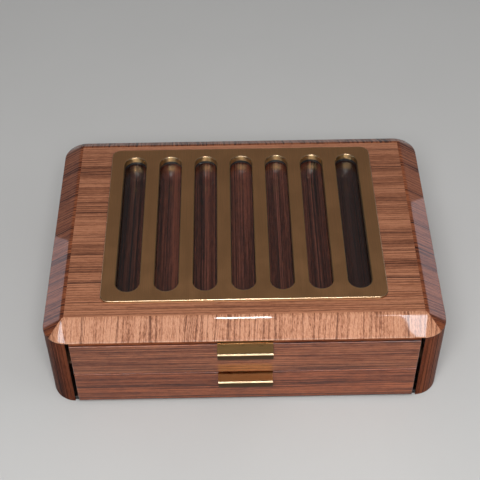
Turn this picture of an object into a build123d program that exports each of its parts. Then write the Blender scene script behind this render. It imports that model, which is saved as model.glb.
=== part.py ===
from build123d import *
import os

# Pen display case: a hinged lid with seven windows over a grooved tray, and two drawers below.
# Millimetres. The origin is on the floor under the middle of the case, +X right, +Y back, +Z up.

# Case
case_width = 333.0
case_height = 92.4  # floor to the flat top of the lid
corner_radius = 20.5  # in plan
side_wall_thickness = 19.6
back_wall_thickness = 12.0
felt_thickness = 0.8
felt_inset = 2.0  # all round, inside the case's outline
base_thickness = 3.5
base_lap = 6.0  # how far the base board reaches into the walls
base_setback = 2.5  # of the base board's front edge, behind the walls' front
shelf_thickness = 3.0
tongue_depth = 3.0  # of the shelf and the tray in the side walls
tongue_thickness = 4.0

# Lid
bevel_run = 16.5
bevel_drop = 11.2
flat_corner_radius = 0.3  # of the lid's flat top, in plan
flat_front_border = 16.25  # of the flat top, in front of the plate
flat_back_border = 8.65  # and behind it
lid_lip = 0.9  # upright edge below the bevel
lid_seam = 0.3  # between the walls and the lid

# Window plate and what lies under it
slot_count = 7
slot_pitch = 32.5
slot_width = 20.5
slot_length = 163.0
plate_side_border = 11.9  # plate beyond the outer slots
plate_end_border = 10.55  # plate beyond the slots' ends
plate_corner = 8.0
plate_thickness = 3.5
plate_proud = 1.8  # how far the plate stands above the lid
plate_edge_chamfer = 0.7
slot_edge_chamfer = 0.8
slot_wall_height = 5.4  # from the plate's top to the gasket
slot_wall_thickness = 1.2
gasket_thickness = 2.6
glass_thickness = 2.5
glass_margin = 11.5  # glass beyond the slots
glass_corner = 2.0
frame_thickness = 2.6
frame_cover = 7.5  # how far the glass frame reaches under the glass
frame_flange = 6.0  # how far it reaches beyond the glass, for its screws

# Display tray
tray_floor = 4.0  # wood under the grooves
tray_shoulder = 0.6  # below the lid's underside
tray_rise_gap = 0.6  # between the raised part and the glass
tray_side_gap = 1.0  # between the raised part and the glass frame
groove_width = 21.5
groove_depth = 12.2
groove_overrun = 1.0  # groove beyond each end of its window

# Drawers
front_thickness = 12.0
front_proud = 3.0  # how far the fronts stand in front of the side walls
front_side_gap = 3.4
front_seam = 0.4
front_base_gap = 0.5
front_edge_radius = 1.2
front_overhang = 2.0  # how far the upper front reaches below the shelf's top
front_lid_gap = 0.4
front_back_gap = 0.3  # between the fronts and the shelf and tray that stop them
box_wall_thickness = 8.0
box_side_gap = 0.3  # to the guide strips, and the box inside the front's edges
box_lift = 0.3  # above the shelf or the base board
box_headroom = 1.5
box_back_gap = 3.0
panel_thickness = 2.5
panel_height = 1.5  # above the sides' lower edge
panel_groove = 3.0
dowel_radius = 2.0
dowel_length = 18.0
dowel_front_depth = 8.0  # of the dowels in the drawer front
dowel_cover = 1.0  # wood over the back dowels' ends
dowel_height_shares = (0.45, 0.8)  # up a drawer box's sides
guide_height = 12.0
guide_inset = 14.0

# Pen inserts
pen_groove_count = 9
pen_groove_radius = 11.5
pen_groove_depth = 8.5
pen_groove_spare = 4.5  # at each end, over a window's length
insert_height = 11.0
insert_gap = 0.3

# Drawer pulls
pull_width = 45.6
pull_reach = 10.5  # in front of the drawer front
pull_sheet = 1.6
pull_lip = 5.8
pull_leg = 14.0
pull_bend = 2.2
pull_drop = 0.8  # of the pull's plate, below the front's top edge
pull_screw_spacing = 28.0

# Hinges
hinge_spacing = 190.0
hinge_length = 36.0
hinge_leaf_width = 10.5  # of each leaf, away from the barrel
hinge_leaf_thickness = 1.0
hinge_barrel_radius = 1.9
hinge_pin_radius = 0.9
hinge_pin_head_radius = 1.5
hinge_pin_head_height = 0.8
hinge_stand_off = 0.2  # of the pin's axis, behind the back wall's outer face
hinge_axis_drop = 2.2  # of the pin's axis, below the walls' top
hinge_neck_inset = 1.0  # of the lid leaf's necks, in front of the back wall's outer face
hinge_knuckles = 5
hinge_screw_spacing = 12.0
hinge_screw_count = 3
hinge_screw_inset = 7.6  # of the lid leaf's screws, in front of the back wall's outer face

# Fits
slip_fit = 0.05  # around a fixed screw, dowel, tongue or pin
pin_fit = 0.08  # a lid knuckle around its pin
let_in_gap = 0.15  # around what is let into the lid
knuckle_gap = 0.15
barrel_gap = 0.3

# Lines in plan
plate_depth = slot_length + 2 * plate_end_border
flat_depth = plate_depth + flat_front_border + flat_back_border
flat_width = case_width - 2 * bevel_run
case_depth = flat_depth + 2 * bevel_run
window_offset = (flat_front_border - flat_back_border) / 2  # of the windows' middle, behind the case's
half_width = case_width / 2
half_depth = case_depth / 2
recess_half_width = half_width - side_wall_thickness
back_wall_inner = half_depth - back_wall_thickness
slot_positions = [(index - (slot_count - 1) / 2) * slot_pitch for index in range(slot_count)]
slot_field_width = (slot_count - 1) * slot_pitch + slot_width
plate_width = slot_field_width + 2 * plate_side_border
pen_groove_length = slot_length + 2 * pen_groove_spare
glass_width = slot_field_width + 2 * glass_margin
glass_depth = slot_length + 2 * glass_margin
frame_width = glass_width + 2 * frame_flange
frame_depth = glass_depth + 2 * frame_flange
frame_opening_width = glass_width - 2 * frame_cover
frame_opening_depth = glass_depth - 2 * frame_cover

# Heights of the lid, from its top down
plate_top = case_height + plate_proud
plate_bottom = plate_top - plate_thickness
gasket_top = plate_top - slot_wall_height
glass_top = gasket_top - gasket_thickness
glass_bottom = glass_top - glass_thickness
frame_bottom = glass_bottom - frame_thickness
lip_top = case_height - bevel_drop
lid_bottom = lip_top - lid_lip
wall_top = lid_bottom - lid_seam

# Heights of the tray and the drawers
tray_top = glass_bottom - tray_rise_gap
groove_bottom = tray_top - groove_depth
tray_bottom = groove_bottom - tray_floor
base_top = felt_thickness + base_thickness
lower_front_bottom = base_top + front_base_gap
upper_front_top = lid_bottom - front_lid_gap
front_height = (upper_front_top - lower_front_bottom - front_seam) / 2
lower_front_top = lower_front_bottom + front_height
upper_front_bottom = lower_front_top + front_seam
shelf_top = upper_front_bottom + front_overhang
shelf_bottom = shelf_top - shelf_thickness

# Drawer plan
front_face = -half_depth - front_proud
front_back = front_face + front_thickness
front_half_width = recess_half_width - front_side_gap
box_half_width = front_half_width - box_side_gap
box_inner_half_width = box_half_width - box_wall_thickness
box_back = back_wall_inner - box_back_gap
box_inner_back = box_back - box_wall_thickness
inner_front = front_back + front_back_gap

# Lines of the hinges
hinge_axis_y = half_depth + hinge_stand_off
hinge_axis_z = wall_top - hinge_axis_drop
neck_back = half_depth - hinge_neck_inset
neck_front = neck_back - hinge_leaf_thickness
case_leaf_top = hinge_axis_z - hinge_barrel_radius - barrel_gap
case_leaf_bottom = case_leaf_top - hinge_leaf_width

# Screws: head radius, shank radius, length
case_screw = (2.4, 1.5, 14.0)
frame_screw = (1.8, 0.9, 7.0)
hinge_screw = (1.9, 1.1, 5.0)
pull_screw = (2.2, 1.2, 9.0)
driver_slot_width = 0.5
driver_slot_depth = 0.5
base_screw_margin = 25.0  # of the outer base screws, from the case's ends
frame_screw_margin = 15.0  # of the outer frame screws, from the frame's ends
frame_side_screw_spacing = 66.0


def block(x0, x1, y0, y1, z0, z1):
    """A box between two corners."""
    return Pos((x0 + x1) / 2, (y0 + y1) / 2, (z0 + z1) / 2) * Box(x1 - x0, y1 - y0, z1 - z0)


def rounded_slab(width, depth, radius, z0, z1, y_centre=0.0):
    """A flat slab with round corners in plan."""
    outline = Pos(0, y_centre, z0) * RectangleRounded(width, depth, radius)
    return extrude(outline, amount=z1 - z0)


def long_slot(x, width, length, z0, z1):
    """A slab with two round ends that runs front to back at a window's place."""
    outline = Pos(x, window_offset, z0) * SlotOverall(length, width, rotation=90)
    return extrude(outline, amount=z1 - z0)


def rod(centre, radius, length, along):
    """A cylinder about a centre, along a direction."""
    return Plane(origin=centre, z_dir=along) * Cylinder(radius, length)


def screw(place, outward, size, grow=0.0):
    """A countersunk screw with its head flush at a place, or with grow the hole that it needs."""
    head_radius, shank_radius, length = size
    head_height = head_radius - shank_radius
    full_length = length + 2 * grow
    shape = Pos(0, 0, -head_height / 2) * Cone(shank_radius + grow, head_radius + grow, head_height)
    shape += Pos(0, 0, -full_length / 2) * Cylinder(shank_radius + grow, full_length)
    if grow == 0.0:
        shape -= Box(2 * head_radius, driver_slot_width, 2 * driver_slot_depth)
    return Plane(origin=place, z_dir=outward) * shape


def screws(places, outward, size):
    """One screw at each place."""
    return [screw(place, outward, size) for place in places]


def without_screw_holes(shape, places, outward, size):
    """The shape with a hole for a screw at each place."""
    for place in places:
        shape -= screw(place, outward, size, grow=slip_fit)
    return shape


def spread(count, span):
    """Evenly spaced places about zero, from one end of a span to the other."""
    return [span * (index / (count - 1) - 0.5) for index in range(count)]


def base_screw_places():
    """Along the side walls and the back wall, from below."""
    lap_middle = base_lap / 2
    side_x = recess_half_width + lap_middle
    back_y = back_wall_inner + lap_middle
    side_rows = spread(4, case_depth - 2 * base_screw_margin)
    sides = [(side * side_x, y, felt_thickness) for side in (-1, 1) for y in side_rows]
    back = [(x, back_y, felt_thickness) for x in spread(3, recess_half_width)]
    return sides + back


def frame_screw_places():
    """Round the glass frame's flange."""
    flange_x = glass_width / 2 + frame_flange / 2
    flange_y = glass_depth / 2 + frame_flange / 2
    long_rows = [
        (x, window_offset + side * flange_y, frame_bottom)
        for side in (-1, 1)
        for x in spread(4, frame_width - 2 * frame_screw_margin)
    ]
    short_rows = [
        (side * flange_x, window_offset + y, frame_bottom)
        for side in (-1, 1)
        for y in spread(2, frame_side_screw_spacing)
    ]
    return long_rows + short_rows


def hinge_places():
    """X of each hinge's middle."""
    return spread(2, hinge_spacing)


def hinge_screw_columns():
    """X of the screws of every hinge leaf."""
    row = spread(hinge_screw_count, hinge_screw_spacing * (hinge_screw_count - 1))
    return [hinge_x + x for hinge_x in hinge_places() for x in row]


def lid_leaf_screw_places():
    """Screws that hold the lid leaves up to the lid's underside."""
    return [(x, half_depth - hinge_screw_inset, lid_bottom) for x in hinge_screw_columns()]


def case_leaf_screw_places():
    """Screws that hold the case leaves to the back wall."""
    return [(x, half_depth, (case_leaf_top + case_leaf_bottom) / 2) for x in hinge_screw_columns()]


def pull_screw_places(front_top):
    """Screws of one drawer pull, in its leg behind the front."""
    leg_middle = front_top - pull_drop - (pull_sheet + pull_leg) / 2
    return [(x, front_back, leg_middle) for x in spread(2, pull_screw_spacing)]


def barrel_room(hinge_x):
    """The notch in the back wall's top edge that one hinge's barrel and neck lie in."""
    half_length = hinge_length / 2 + hinge_pin_head_height + barrel_gap
    return block(
        hinge_x - half_length, hinge_x + half_length,
        neck_front - barrel_gap, half_depth, case_leaf_top, wall_top,
    )


def case_leaf_room(hinge_x):
    """The shallow seat in the back wall's outer face for one case leaf."""
    half_length = hinge_length / 2 + slip_fit
    return block(
        hinge_x - half_length, hinge_x + half_length,
        half_depth - hinge_leaf_thickness, half_depth, case_leaf_bottom - slip_fit, case_leaf_top,
    )


def lid_leaf_room(hinge_x):
    """The shallow seat in the lid's underside for one lid leaf."""
    half_length = hinge_length / 2 + slip_fit
    return block(
        hinge_x - half_length, hinge_x + half_length,
        neck_back - hinge_leaf_width - slip_fit, neck_back + slip_fit,
        lid_bottom, lid_bottom + hinge_leaf_thickness,
    )


def bevelled_block():
    """The lid's outside: a flat top, a bevel down to round corners, and an upright lip."""
    foot = Pos(0, 0, lip_top) * RectangleRounded(case_width, case_depth, corner_radius)
    flat = Pos(0, 0, case_height) * RectangleRounded(flat_width, flat_depth, flat_corner_radius)
    lip = rounded_slab(case_width, case_depth, corner_radius, lid_bottom, lip_top)
    return lip + loft([foot.face(), flat.face()], ruled=True)


def lid_panel():
    """The wooden lid, with the plate's rebate, the windows, and the pockets for glass and frame."""
    shape = bevelled_block()
    room = 2 * let_in_gap
    shape -= rounded_slab(
        plate_width + room, plate_depth + room, plate_corner + let_in_gap,
        plate_bottom, plate_top, window_offset,
    )
    for x in slot_positions:
        wall = slot_wall_thickness + let_in_gap
        shape -= long_slot(x, slot_width + 2 * wall, slot_length + 2 * wall, lid_bottom, plate_top)
    shape -= rounded_slab(
        glass_width + room, glass_depth + room, glass_corner + let_in_gap,
        lid_bottom, gasket_top, window_offset,
    )
    shape -= rounded_slab(
        frame_width + room, frame_depth + room, glass_corner + let_in_gap,
        lid_bottom, glass_bottom, window_offset,
    )
    for hinge_x in hinge_places():
        shape -= lid_leaf_room(hinge_x)
    shape = without_screw_holes(shape, frame_screw_places(), (0, 0, -1), frame_screw)
    return without_screw_holes(shape, lid_leaf_screw_places(), (0, 0, -1), hinge_screw)


def window_plate():
    """The brass plate, with a deep wall down each window."""
    shape = rounded_slab(plate_width, plate_depth, plate_corner, plate_bottom, plate_top, window_offset)
    for x in slot_positions:
        shape -= long_slot(x, slot_width, slot_length, plate_bottom, plate_top)
    top = shape.faces().sort_by(Axis.Z)[-1]
    shape = chamfer(top.outer_wire().edges(), plate_edge_chamfer)
    top = shape.faces().sort_by(Axis.Z)[-1]
    slot_edges = [edge for wire in top.inner_wires() for edge in wire.edges()]
    shape = chamfer(slot_edges, slot_edge_chamfer)
    for x in slot_positions:
        outer_width = slot_width + 2 * slot_wall_thickness
        outer_length = slot_length + 2 * slot_wall_thickness
        wall = long_slot(x, outer_width, outer_length, gasket_top, plate_bottom)
        wall -= long_slot(x, slot_width, slot_length, gasket_top, plate_bottom)
        shape += wall
    return shape


def glass_gasket():
    """The black sheet between the window walls and the glass."""
    shape = rounded_slab(glass_width, glass_depth, glass_corner, glass_top, gasket_top, window_offset)
    for x in slot_positions:
        shape -= long_slot(x, slot_width, slot_length, glass_top, gasket_top)
    return shape


def glass_pane():
    """One pane under all the windows."""
    return rounded_slab(glass_width, glass_depth, glass_corner, glass_bottom, glass_top, window_offset)


def glass_frame():
    """The frame that is screwed up under the glass."""
    shape = rounded_slab(frame_width, frame_depth, glass_corner, frame_bottom, glass_bottom, window_offset)
    shape -= rounded_slab(
        frame_opening_width, frame_opening_depth, glass_corner, frame_bottom, glass_bottom, window_offset
    )
    return without_screw_holes(shape, frame_screw_places(), (0, 0, -1), frame_screw)


def tongue_room(z0, z1, grow=0.0):
    """A board with its ends in the side walls, or with grow the grooves that they need."""
    half_span = recess_half_width + tongue_depth + grow
    return block(-half_span, half_span, inner_front - grow, back_wall_inner, z0 - grow, z1 + grow)


def base_room(grow=0.0):
    """The base board, or with grow the rebate that it needs in the walls."""
    half_span = recess_half_width + base_lap + grow
    return block(
        -half_span, half_span, -half_depth + base_setback - grow, back_wall_inner + base_lap + grow,
        felt_thickness, base_top,
    )


def side_wall(side):
    """One side wall with its two round corners, from the floor to the lid."""
    x0, x1 = (recess_half_width, half_width) if side > 0 else (-half_width, -recess_half_width)
    outline = rounded_slab(case_width, case_depth, corner_radius, felt_thickness, wall_top)
    shape = outline & block(x0, x1, -half_depth, half_depth, felt_thickness, wall_top)
    shape -= base_room(slip_fit)
    shape -= tongue_room(shelf_bottom, shelf_top, slip_fit)
    shape -= tongue_room(tray_bottom, tray_bottom + tongue_thickness, slip_fit)
    return without_screw_holes(shape, base_screw_places(), (0, 0, -1), case_screw)


def back_wall():
    """The back wall between the side walls, with the hinges' seats."""
    shape = block(
        -recess_half_width, recess_half_width, back_wall_inner, half_depth, felt_thickness, wall_top
    )
    shape -= base_room(slip_fit)
    for hinge_x in hinge_places():
        shape -= barrel_room(hinge_x)
        shape -= case_leaf_room(hinge_x)
    shape = without_screw_holes(shape, base_screw_places(), (0, 0, -1), case_screw)
    return without_screw_holes(shape, case_leaf_screw_places(), (0, 1, 0), hinge_screw)


def base_board():
    """The board under the lower drawer."""
    return without_screw_holes(base_room(), base_screw_places(), (0, 0, -1), case_screw)


def base_felt():
    """The felt that the case stands on."""
    width = case_width - 2 * felt_inset
    depth = case_depth - 2 * felt_inset
    return rounded_slab(width, depth, corner_radius - felt_inset, 0, felt_thickness)


def drawer_shelf():
    """The thin shelf that the upper drawer runs on."""
    return tongue_room(shelf_bottom, shelf_top)


def display_groove_room(x):
    """A groove with a round bottom and ball-shaped ends."""
    radius = groove_width / 2
    length = slot_length + 2 * groove_overrun
    straight = length - groove_width
    centre_z = groove_bottom + radius
    shape = rod((x, window_offset, centre_z), radius, straight, (0, 1, 0))
    for y in spread(2, straight):
        shape += Pos(x, window_offset + y, centre_z) * Sphere(radius)
    return shape + long_slot(x, groove_width, length, centre_z, tray_top)


def display_tray():
    """The tray that holds one pen under each window, with its middle raised to the glass."""
    shape = block(
        -recess_half_width, recess_half_width, inner_front, back_wall_inner,
        tray_bottom, lid_bottom - tray_shoulder,
    )
    shape += tongue_room(tray_bottom, tray_bottom + tongue_thickness)
    rise_width = frame_opening_width - 2 * tray_side_gap
    rise_depth = frame_opening_depth - 2 * tray_side_gap
    shape += rounded_slab(rise_width, rise_depth, glass_corner, tray_bottom, tray_top, window_offset)
    for x in slot_positions:
        shape -= display_groove_room(x)
    return shape


def box_levels(level):
    """Lower and upper edge of a drawer box's sides."""
    if level == "upper":
        return shelf_top + box_lift, tray_bottom - box_headroom
    return base_top + box_lift, shelf_bottom - box_headroom


def front_levels(level):
    """Lower and upper edge of a drawer front."""
    if level == "upper":
        return upper_front_bottom, upper_front_top
    return lower_front_bottom, lower_front_top


def dowel_heights(level):
    """Heights of the two dowels in each corner of a drawer box."""
    z0, z1 = box_levels(level)
    return [z0 + (z1 - z0) * share for share in dowel_height_shares]


def drawer_dowels(level, grow=0.0):
    """The dowels of one drawer's four corners, or with grow the holes that they need."""
    radius = dowel_radius + grow
    length = dowel_length + 2 * grow
    side_middle = box_half_width - box_wall_thickness / 2
    front_y = front_back - dowel_front_depth + dowel_length / 2
    back_y = box_back - box_wall_thickness / 2
    back_x = box_half_width - dowel_cover - dowel_length / 2
    pins = []
    for z in dowel_heights(level):
        for side in (-1, 1):
            pins.append(rod((side * side_middle, front_y, z), radius, length, (0, 1, 0)))
            pins.append(rod((side * back_x, back_y, z), radius, length, (1, 0, 0)))
    return pins


def without(shape, tools):
    """The shape with every tool cut away."""
    for tool in tools:
        shape -= tool
    return shape


def drawer_front(level):
    """A lacquered front with rounded edges, the pull's seat and the bottom panel's groove."""
    z0, z1 = front_levels(level)
    box_z0, _ = box_levels(level)
    shape = block(-front_half_width, front_half_width, front_face, front_back, z0, z1)
    face = shape.faces().sort_by(Axis.Y)[0]
    shape = fillet(face.edges(), front_edge_radius)
    panel_z0 = box_z0 + panel_height
    shape -= block(
        -box_inner_half_width - panel_groove, box_inner_half_width + panel_groove,
        front_back - panel_groove - slip_fit, front_back,
        panel_z0 - slip_fit, panel_z0 + panel_thickness + slip_fit,
    )
    half_pull = pull_width / 2 + slip_fit
    pull_top = z1 - pull_drop
    leg_seat_bottom = pull_top - pull_leg - slip_fit
    shape -= block(-half_pull, half_pull, front_face, front_back, pull_top - pull_sheet, z1)
    shape -= block(-half_pull, half_pull, front_back - pull_sheet, front_back, leg_seat_bottom, z1)
    shape = without_screw_holes(shape, pull_screw_places(z1), (0, 1, 0), pull_screw)
    return without(shape, drawer_dowels(level, slip_fit))


def drawer_side(level, side):
    """One side of a drawer box, grooved for the bottom panel."""
    z0, z1 = box_levels(level)
    inner = box_inner_half_width
    outer = box_half_width
    x0, x1 = (inner, outer) if side > 0 else (-outer, -inner)
    shape = block(x0, x1, front_back, box_back, z0, z1)
    shape -= bottom_panel_room(level, slip_fit)
    return without(shape, drawer_dowels(level, slip_fit))


def bottom_panel_room(level, grow=0.0):
    """A drawer's bottom panel, or with grow the grooves that it needs."""
    z0, _ = box_levels(level)
    half_span = box_inner_half_width + panel_groove - slip_fit + grow
    return block(
        -half_span, half_span, front_back - panel_groove - grow, box_back - slip_fit + grow,
        z0 + panel_height - grow, z0 + panel_height + panel_thickness + grow,
    )


def drawer_bottom(level):
    """The thin panel that slides into the sides and the front."""
    return bottom_panel_room(level)


def drawer_back(level):
    """The back of a drawer box, which stands on the bottom panel."""
    z0, z1 = box_levels(level)
    stand = z0 + panel_height + panel_thickness
    shape = block(
        -box_inner_half_width, box_inner_half_width, box_inner_back, box_back, stand + slip_fit, z1
    )
    return without(shape, drawer_dowels(level, slip_fit))


def pen_insert(level):
    """The grooved bed for pens."""
    z0, _ = box_levels(level)
    bed = z0 + panel_height + panel_thickness
    top = bed + insert_height
    half_span = box_inner_half_width - insert_gap
    y0 = front_back + insert_gap
    y1 = box_inner_back - insert_gap
    shape = block(-half_span, half_span, y0, y1, bed, top)
    pitch = 2 * half_span / pen_groove_count
    middle_y = (y0 + y1) / 2
    for index in range(pen_groove_count):
        x = (index - (pen_groove_count - 1) / 2) * pitch
        centre = (x, middle_y, top + pen_groove_radius - pen_groove_depth)
        shape -= rod(centre, pen_groove_radius, pen_groove_length, (0, 1, 0))
    return shape


def drawer_pull(level):
    """A bent brass tab: a leg behind the front, a plate across its top edge and a lip."""
    _, front_top = front_levels(level)
    z1 = front_top - pull_drop
    half_pull = pull_width / 2
    rim = front_face - pull_reach
    shape = block(-half_pull, half_pull, rim, front_back, z1 - pull_sheet, z1)
    shape += block(-half_pull, half_pull, rim, rim + pull_sheet, z1 - pull_lip, z1)
    shape += block(-half_pull, half_pull, front_back - pull_sheet, front_back, z1 - pull_leg, z1)
    rim_edge = shape.edges().filter_by(Axis.X).sort_by(lambda edge: edge.center().Y - edge.center().Z)[0]
    shape = fillet(rim_edge, pull_bend)
    return without_screw_holes(shape, pull_screw_places(front_top), (0, 1, 0), pull_screw)


def drawer_guides():
    """Strips on the side walls that keep the drawer boxes square."""
    thickness = recess_half_width - box_half_width - box_side_gap
    strips = []
    for level in ("lower", "upper"):
        z0, z1 = box_levels(level)
        middle = (z0 + z1) / 2
        for side in (-1, 1):
            x = side * (recess_half_width - thickness / 2)
            strip = Pos(x, (inner_front + guide_inset + box_back) / 2, middle)
            length = box_back - inner_front - guide_inset
            strips.append(strip * Box(thickness, length, guide_height))
    return strips


def knuckles(hinge_x, first):
    """X ranges of every second knuckle of a hinge."""
    pitch = hinge_length / hinge_knuckles
    half_knuckle = (pitch - knuckle_gap) / 2
    steps = [index - (hinge_knuckles - 1) / 2 for index in range(first, hinge_knuckles, 2)]
    middles = [hinge_x + step * pitch for step in steps]
    return [(middle - half_knuckle, middle + half_knuckle) for middle in middles]


def barrel(x0, x1, radius):
    """A cylinder along the line that the lid turns about."""
    return rod(((x0 + x1) / 2, hinge_axis_y, hinge_axis_z), radius, x1 - x0, (1, 0, 0))


def hinge_case_leaves():
    """The two leaves on the back wall, whose outer knuckles hold the pins."""
    half_length = hinge_length / 2
    leaf_front = half_depth - hinge_leaf_thickness
    leaves = []
    for hinge_x in hinge_places():
        leaf = block(
            hinge_x - half_length, hinge_x + half_length,
            leaf_front, half_depth, case_leaf_bottom, case_leaf_top,
        )
        for x0, x1 in knuckles(hinge_x, 0):
            leaf += block(x0, x1, leaf_front, half_depth, case_leaf_bottom, hinge_axis_z)
            leaf += barrel(x0, x1, hinge_barrel_radius)
        leaf -= barrel(hinge_x - half_length, hinge_x + half_length, hinge_pin_radius + slip_fit)
        leaves.append(without_screw_holes(leaf, case_leaf_screw_places(), (0, 1, 0), hinge_screw))
    return leaves


def hinge_lid_leaves():
    """The two cranked leaves in the lid, whose necks go down to the knuckles between."""
    half_length = hinge_length / 2
    leaves = []
    for hinge_x in hinge_places():
        leaf = block(
            hinge_x - half_length, hinge_x + half_length,
            neck_back - hinge_leaf_width, neck_back, lid_bottom, lid_bottom + hinge_leaf_thickness,
        )
        for x0, x1 in knuckles(hinge_x, 1):
            leaf += block(x0, x1, neck_front, neck_back, hinge_axis_z, lid_bottom)
            leaf += barrel(x0, x1, hinge_barrel_radius)
        leaf -= barrel(hinge_x - half_length, hinge_x + half_length, hinge_pin_radius + pin_fit)
        leaves.append(without_screw_holes(leaf, lid_leaf_screw_places(), (0, 0, -1), hinge_screw))
    return leaves


def hinge_pins():
    """A headed pin through each hinge."""
    half_length = hinge_length / 2
    head_end = half_length + hinge_pin_head_height
    pins = []
    for hinge_x in hinge_places():
        pin = barrel(hinge_x - half_length, hinge_x + half_length, hinge_pin_radius)
        pin += barrel(hinge_x - head_end, hinge_x - half_length, hinge_pin_head_radius)
        pin += barrel(hinge_x + half_length, hinge_x + head_end, hinge_pin_head_radius)
        pins.append(pin)
    return pins


def case_nodes():
    """Everything that stands still."""
    return {
        "left_side_wall": side_wall(-1),
        "right_side_wall": side_wall(1),
        "back_wall": back_wall(),
        "base_board": base_board(),
        "base_felt": base_felt(),
        "base_screws": screws(base_screw_places(), (0, 0, -1), case_screw),
        "drawer_shelf": drawer_shelf(),
        "drawer_guides": drawer_guides(),
        "display_tray": display_tray(),
        "hinge_case_leaves": hinge_case_leaves(),
        "hinge_case_screws": screws(case_leaf_screw_places(), (0, 1, 0), hinge_screw),
        "hinge_pins": hinge_pins(),
    }


def lid_nodes():
    """Everything that turns with the lid."""
    return {
        "lid_panel": lid_panel(),
        "window_plate": window_plate(),
        "glass_gasket": glass_gasket(),
        "glass_pane": glass_pane(),
        "glass_frame": glass_frame(),
        "glass_frame_screws": screws(frame_screw_places(), (0, 0, -1), frame_screw),
        "hinge_lid_leaves": hinge_lid_leaves(),
        "hinge_lid_screws": screws(lid_leaf_screw_places(), (0, 0, -1), hinge_screw),
    }


def drawer_nodes(level):
    """Everything that slides with one drawer."""
    _, front_top = front_levels(level)
    return {
        f"{level}_drawer_front": drawer_front(level),
        f"{level}_drawer_left_side": drawer_side(level, -1),
        f"{level}_drawer_right_side": drawer_side(level, 1),
        f"{level}_drawer_back": drawer_back(level),
        f"{level}_drawer_bottom": drawer_bottom(level),
        f"{level}_drawer_dowels": drawer_dowels(level),
        f"{level}_pen_insert": pen_insert(level),
        f"{level}_drawer_pull": drawer_pull(level),
        f"{level}_pull_screws": screws(pull_screw_places(front_top), (0, 1, 0), pull_screw),
    }


def write_part(name, shape):
    """One file for each node; a list is a group of separate solids."""
    pieces = shape if isinstance(shape, list) else [shape]
    solids = [solid for piece in pieces for solid in piece.solids()]
    export_step(solids[0] if len(solids) == 1 else Compound(children=solids), f"parts/{name}.step")


os.makedirs("parts", exist_ok=True)
nodes = {**case_nodes(), **lid_nodes(), **drawer_nodes("upper"), **drawer_nodes("lower")}
for node_name, node_shape in nodes.items():
    write_part(node_name, node_shape)
print(f"{len(nodes)} nodes")
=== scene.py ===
"""Studio scene of a veneered pen display case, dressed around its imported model.

The lid, the carcass and the two drawers are classes that build their own meshes and give them their
finishes. Sizes are in millimetres where a name or comment says so, and metres in the meshes.
"""

import logging
import math
from dataclasses import asdict, dataclass, replace
from enum import Enum
from functools import cache
from typing import Any, Callable, Iterable, Sequence

import bmesh
import bpy
from mathutils import Matrix, Vector
from mathutils.geometry import tessellate_polygon

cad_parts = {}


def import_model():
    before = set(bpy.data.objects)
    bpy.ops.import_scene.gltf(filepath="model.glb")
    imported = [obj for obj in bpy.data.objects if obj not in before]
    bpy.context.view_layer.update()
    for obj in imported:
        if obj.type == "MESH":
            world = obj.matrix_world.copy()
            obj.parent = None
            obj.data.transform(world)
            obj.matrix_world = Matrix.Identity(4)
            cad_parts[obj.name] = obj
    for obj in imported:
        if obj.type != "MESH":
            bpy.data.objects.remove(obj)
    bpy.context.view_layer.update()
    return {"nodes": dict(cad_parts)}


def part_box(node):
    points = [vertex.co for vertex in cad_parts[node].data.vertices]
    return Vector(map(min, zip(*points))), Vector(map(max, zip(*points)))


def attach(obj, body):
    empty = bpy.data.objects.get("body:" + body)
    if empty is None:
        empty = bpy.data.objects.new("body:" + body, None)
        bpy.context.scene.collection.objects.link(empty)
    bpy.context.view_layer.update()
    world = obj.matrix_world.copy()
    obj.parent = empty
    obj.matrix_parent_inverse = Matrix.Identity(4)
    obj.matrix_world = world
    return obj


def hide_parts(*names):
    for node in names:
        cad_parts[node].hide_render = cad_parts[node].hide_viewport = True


MM = 0.001
LOG = logging.getLogger("pen_case")
SHADER, GEOMETRY = "ShaderNodeTree", "GeometryNodeTree"
Colour = tuple[float, float, float]
Palette = tuple[Colour, Colour, Colour]
Loop = list[Vector]
Ring = Sequence[bmesh.types.BMVert]
Piece = bpy.types.Object
Socket = bpy.types.NodeSocket
Tree = bpy.types.NodeTree


class Grain(Enum):
    """Which way the grain runs, and whether the wood lies flat or wraps round a corner.

    A value holds the pattern's turns about Y and Z, in degrees, and whether the wood lies flat.
    """

    ACROSS_FLAT = (0.0, 0.0, True)
    ACROSS_SOLID = (0.0, 0.0, False)
    DEPTH_FLAT = (0.0, 90.0, True)
    DEPTH_SOLID = (0.0, 90.0, False)
    UPRIGHT = (-90.0, 0.0, False)


class Level(Enum):
    """The two drawers."""

    UPPER = "upper"
    LOWER = "lower"


def named(values: dict[str, Any]) -> dict[str, Any]:
    """The same values under names with blanks instead of underscores."""
    return {name.replace("_", " "): value for name, value in values.items()}


def rgba(colour: Colour | Socket) -> Any:
    """A colour with full alpha. A socket stays as it is."""
    return colour if isinstance(colour, Socket) else (*colour, 1.0)


def tinted(colour: Colour, share: float) -> Colour:
    """A colour times a share."""
    return tuple(share * part for part in colour)


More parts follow.
